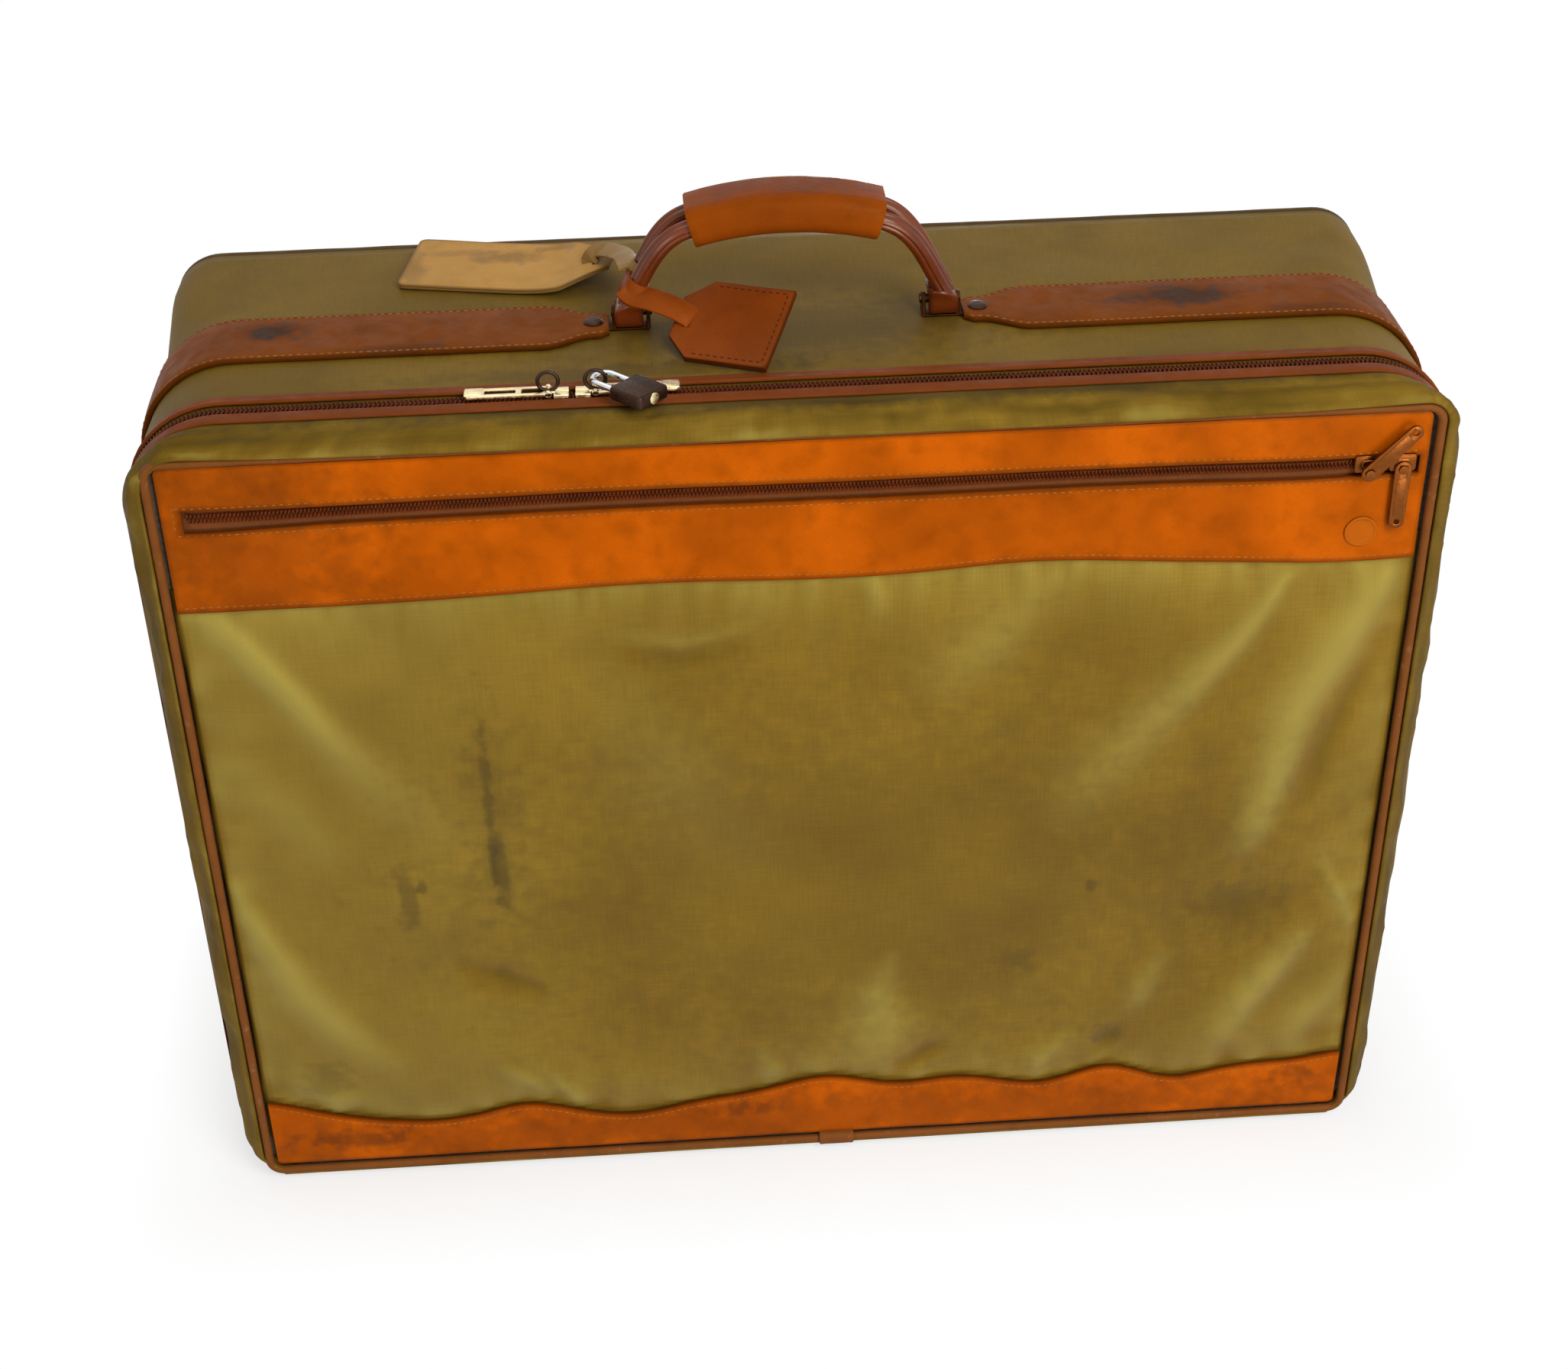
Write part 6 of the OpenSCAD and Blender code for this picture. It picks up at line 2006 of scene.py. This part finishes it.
def make_brown_tag():
    """Two leaves stitched together, with cut corners at the strap's end."""
    start, end = BROWN_TAG_START, BROWN_TAG_START + BROWN_TAG_LEN
    xs = [start, start + 2.5, start + 5, start + 8.4, start + 11, start + 13]
    xs += [start + 13 + (BROWN_TAG_LEN - 13) * k / 20 for k in range(1, 21)]

    def half_width(x):
        return min(BROWN_TAG_HALF_W, BROWN_TAG_HALF_W - 13 + (x - start))

    def curl(x, y):
        return 0.35 * wave(x, y, 11, 30) + 0.5 * bump(x, end, 25) * (y / 26) ** 2

    for node, lift in (("brown_tag_back", -0.05 - BROWN_LEAF_T), ("brown_tag_top", 0.05)):
        make_leaf(xs, half_width, at_brown_tag, lift, BROWN_LEAF_T, (start + 5, start + 8.4, 6.5),
                  "leather_" + node, "tag", "brown_tag", node, curl)
    inset, top = STITCH_INSET, BROWN_LEAF_T + 0.1
    edge = BROWN_TAG_HALF_W - inset
    normal = (at_brown_tag(0, 0, 1) - at_brown_tag(0, 0, 0)).normalized()
    rows = [(lambda x: at_brown_tag(x, -edge, top + curl(x, -edge)), start + 15, end - inset),
            (lambda x: at_brown_tag(x, edge, top + curl(x, edge)), start + 15, end - inset),
            (lambda y: at_brown_tag(end - inset, y, top + curl(end - inset, y)), -edge, edge)]
    bm = bmesh.new()
    for point, first, last in rows:
        stitch_row(bm, row_frames(point, first, last, chosen_mm("stitch_step"), normal))
    piece(bm, "thread_brown_tag_stitches", "dark_thread", "brown_tag")


def strap_shape(width, thick):
    """A strap's cross-section, with its upper edges cut off."""
    half = width / 2
    return [(-half, 0), (half, 0), (half, thick * 0.7), (half - 0.5, thick), (0.5 - half, thick),
            (-half, thick * 0.7)]


def cord_collar(turn, width, thick, point, half):
    """A band of leather round cords a half distance apart, at a turn of the handle."""
    _, out = at_handle(turn)
    along = BACK.cross(out)
    r = CORD_R + 0.25
    frames = []
    for k in range(41):
        t = 2 * math.pi * k / 40
        side = math.copysign(half, math.cos(t)) if abs(math.cos(t)) > 1e-6 else 0
        way = math.cos(t) * BACK + math.sin(t) * out
        frames.append((point + side * BACK + r * way, along, way))
    return sweep(frames, lambda i: strap_shape(width, thick), (90, width), loop=True)


def ribbon(points, up, widths, thick):
    """A flat strap along a smooth curve, whose width changes from end to end."""
    count = 40
    frames = path_frames(points, up, count)

    def profile(i):
        w = widths[0] + (widths[1] - widths[0]) * i / count
        return strap_shape(w, thick)

    return sweep(frames, profile, (80, widths[0]))


def make_name_strap():
    """A narrow strap up through the slot and round the back cord."""
    right = NAME_TAG_LEFT + NAME_TAG_LEN
    turn = math.radians(-70)
    point, out = at_handle(turn)
    core = point + cord_offset(turn) * BACK
    back, over = core + (CORD_R + 0.6) * BACK, core + (CORD_R + 1.0) * out
    points = [at_name_tag(right - 10, 0, 6.0), at_name_tag(right - 10.5, 0, 10.5),
              at_name_tag(right - 4, -1, 15.0),
              at_name_tag(right + 4, -3, 16.0).lerp(over, 0.4) + 1.5 * UP,
              back.lerp(over, 0.6) + Vector((-2.5, 1.5, 1.5)), over + Vector((0, -2, 0.2))]
    bm = cord_collar(turn, 10.5, 1.3, core, 0)
    join(bm, ribbon(points, Vector((-0.1, -0.45, 0.88)), (12, 10.5), 1.3))
    strap = piece(bm, "leather_name_tag_strap", "pale_strap", None, ["name_tag_strap"])
    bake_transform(strap)


def make_brown_strap():
    """A wide strap from the brown tag's slot up and round both cords."""
    turn = math.radians(-78)
    point, _ = at_handle(turn)
    front = point + (cord_offset(turn) + CORD_R + 0.6) * FRONT
    start = BROWN_TAG_START
    slot = at_brown_tag(start + 6.7, 0, 2.2)
    points = [at_brown_tag(start + 8.2, 0, -0.5), slot, slot.lerp(front, 0.3) + Vector((0, -0.6, 1.8)),
              slot.lerp(front, 0.7) + Vector((0, -0.8, 1.6)), front, front + Vector((-5, 3, 3.4))]
    bm = cord_collar(turn, 13, 1.5, point, cord_offset(turn))
    join(bm, ribbon(points, Vector((0.1, -0.62, 0.78)), (12.5, 12.5), 1.5))
    strap = piece(bm, "leather_brown_tag_strap", "tag", None, ["brown_tag_strap"])
    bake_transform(strap)


class TRAVELCASE_OT_tags(bpy.types.Operator):
    """Leather tags: the bare pale name tag, the stitched brown tag and their straps"""

    bl_idname = "travel_case.tags"
    bl_label = "Tags"

    def execute(self, context):
        make_name_tag()
        make_brown_tag()
        make_name_strap()
        make_brown_strap()
        return {"FINISHED"}


class TRAVELCASE_OT_inner_frame(bpy.types.Operator):
    """Finishes of the pieces whose own solids show: boards, hoop, pins and rivets"""

    bl_idname = "travel_case.inner_frame"
    bl_label = "Inner frame"

    def execute(self, context):
        finishes = {"board": ["frame_hoop", "back_board", "lid_board"],
                    "bronze": ["handle_pins", "strap_rivets"]}
        for key, nodes in finishes.items():
            for node in nodes:
                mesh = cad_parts[node].data
                mesh.materials.clear()
                mesh.materials.append(finish(key))
        return {"FINISHED"}


OPERATORS = (
    TRAVELCASE_OT_stage, TRAVELCASE_OT_rear_nylon, TRAVELCASE_OT_lid_nylon, TRAVELCASE_OT_linings,
    TRAVELCASE_OT_piping, TRAVELCASE_OT_bands, TRAVELCASE_OT_main_zip, TRAVELCASE_OT_pocket_zip,
    TRAVELCASE_OT_straps, TRAVELCASE_OT_handle, TRAVELCASE_OT_sliders, TRAVELCASE_OT_padlock,
    TRAVELCASE_OT_tags, TRAVELCASE_OT_inner_frame,
)


class TRAVELCASE_PT_sidebar(bpy.types.Panel):
    """Sizes, colours and the operators that build the case"""

    bl_idname = "TRAVELCASE_PT_sidebar"
    bl_label = "Travel Case"
    bl_space_type = "VIEW_3D"
    bl_region_type = "UI"
    bl_category = "Travel Case"

    def draw(self, context):
        for group in (context.scene.travel_case_sizes, context.scene.travel_case_colours):
            column = self.layout.column(align=True)
            for name in group.__annotations__:
                column.prop(group, name)
        for made in OPERATORS:
            self.layout.operator(made.bl_idname)


CLASSES = (TravelCaseSizes, TravelCaseColours, *OPERATORS, TRAVELCASE_PT_sidebar)


def register():
    """Registers the classes and the settings they read."""
    for made in CLASSES:
        bpy.utils.register_class(made)
    bpy.types.Scene.travel_case_sizes = bpy.props.PointerProperty(type=TravelCaseSizes)
    bpy.types.Scene.travel_case_colours = bpy.props.PointerProperty(type=TravelCaseColours)


def unregister():
    """Takes the settings and classes out again."""
    del bpy.types.Scene.travel_case_colours
    del bpy.types.Scene.travel_case_sizes
    for made in reversed(CLASSES):
        bpy.utils.unregister_class(made)


def main():
    """Builds the stage and every piece."""
    register()
    for made in OPERATORS:
        group, name = made.bl_idname.split(".")
        getattr(getattr(bpy.ops, group), name)()


if __name__ == "__main__":
    main()
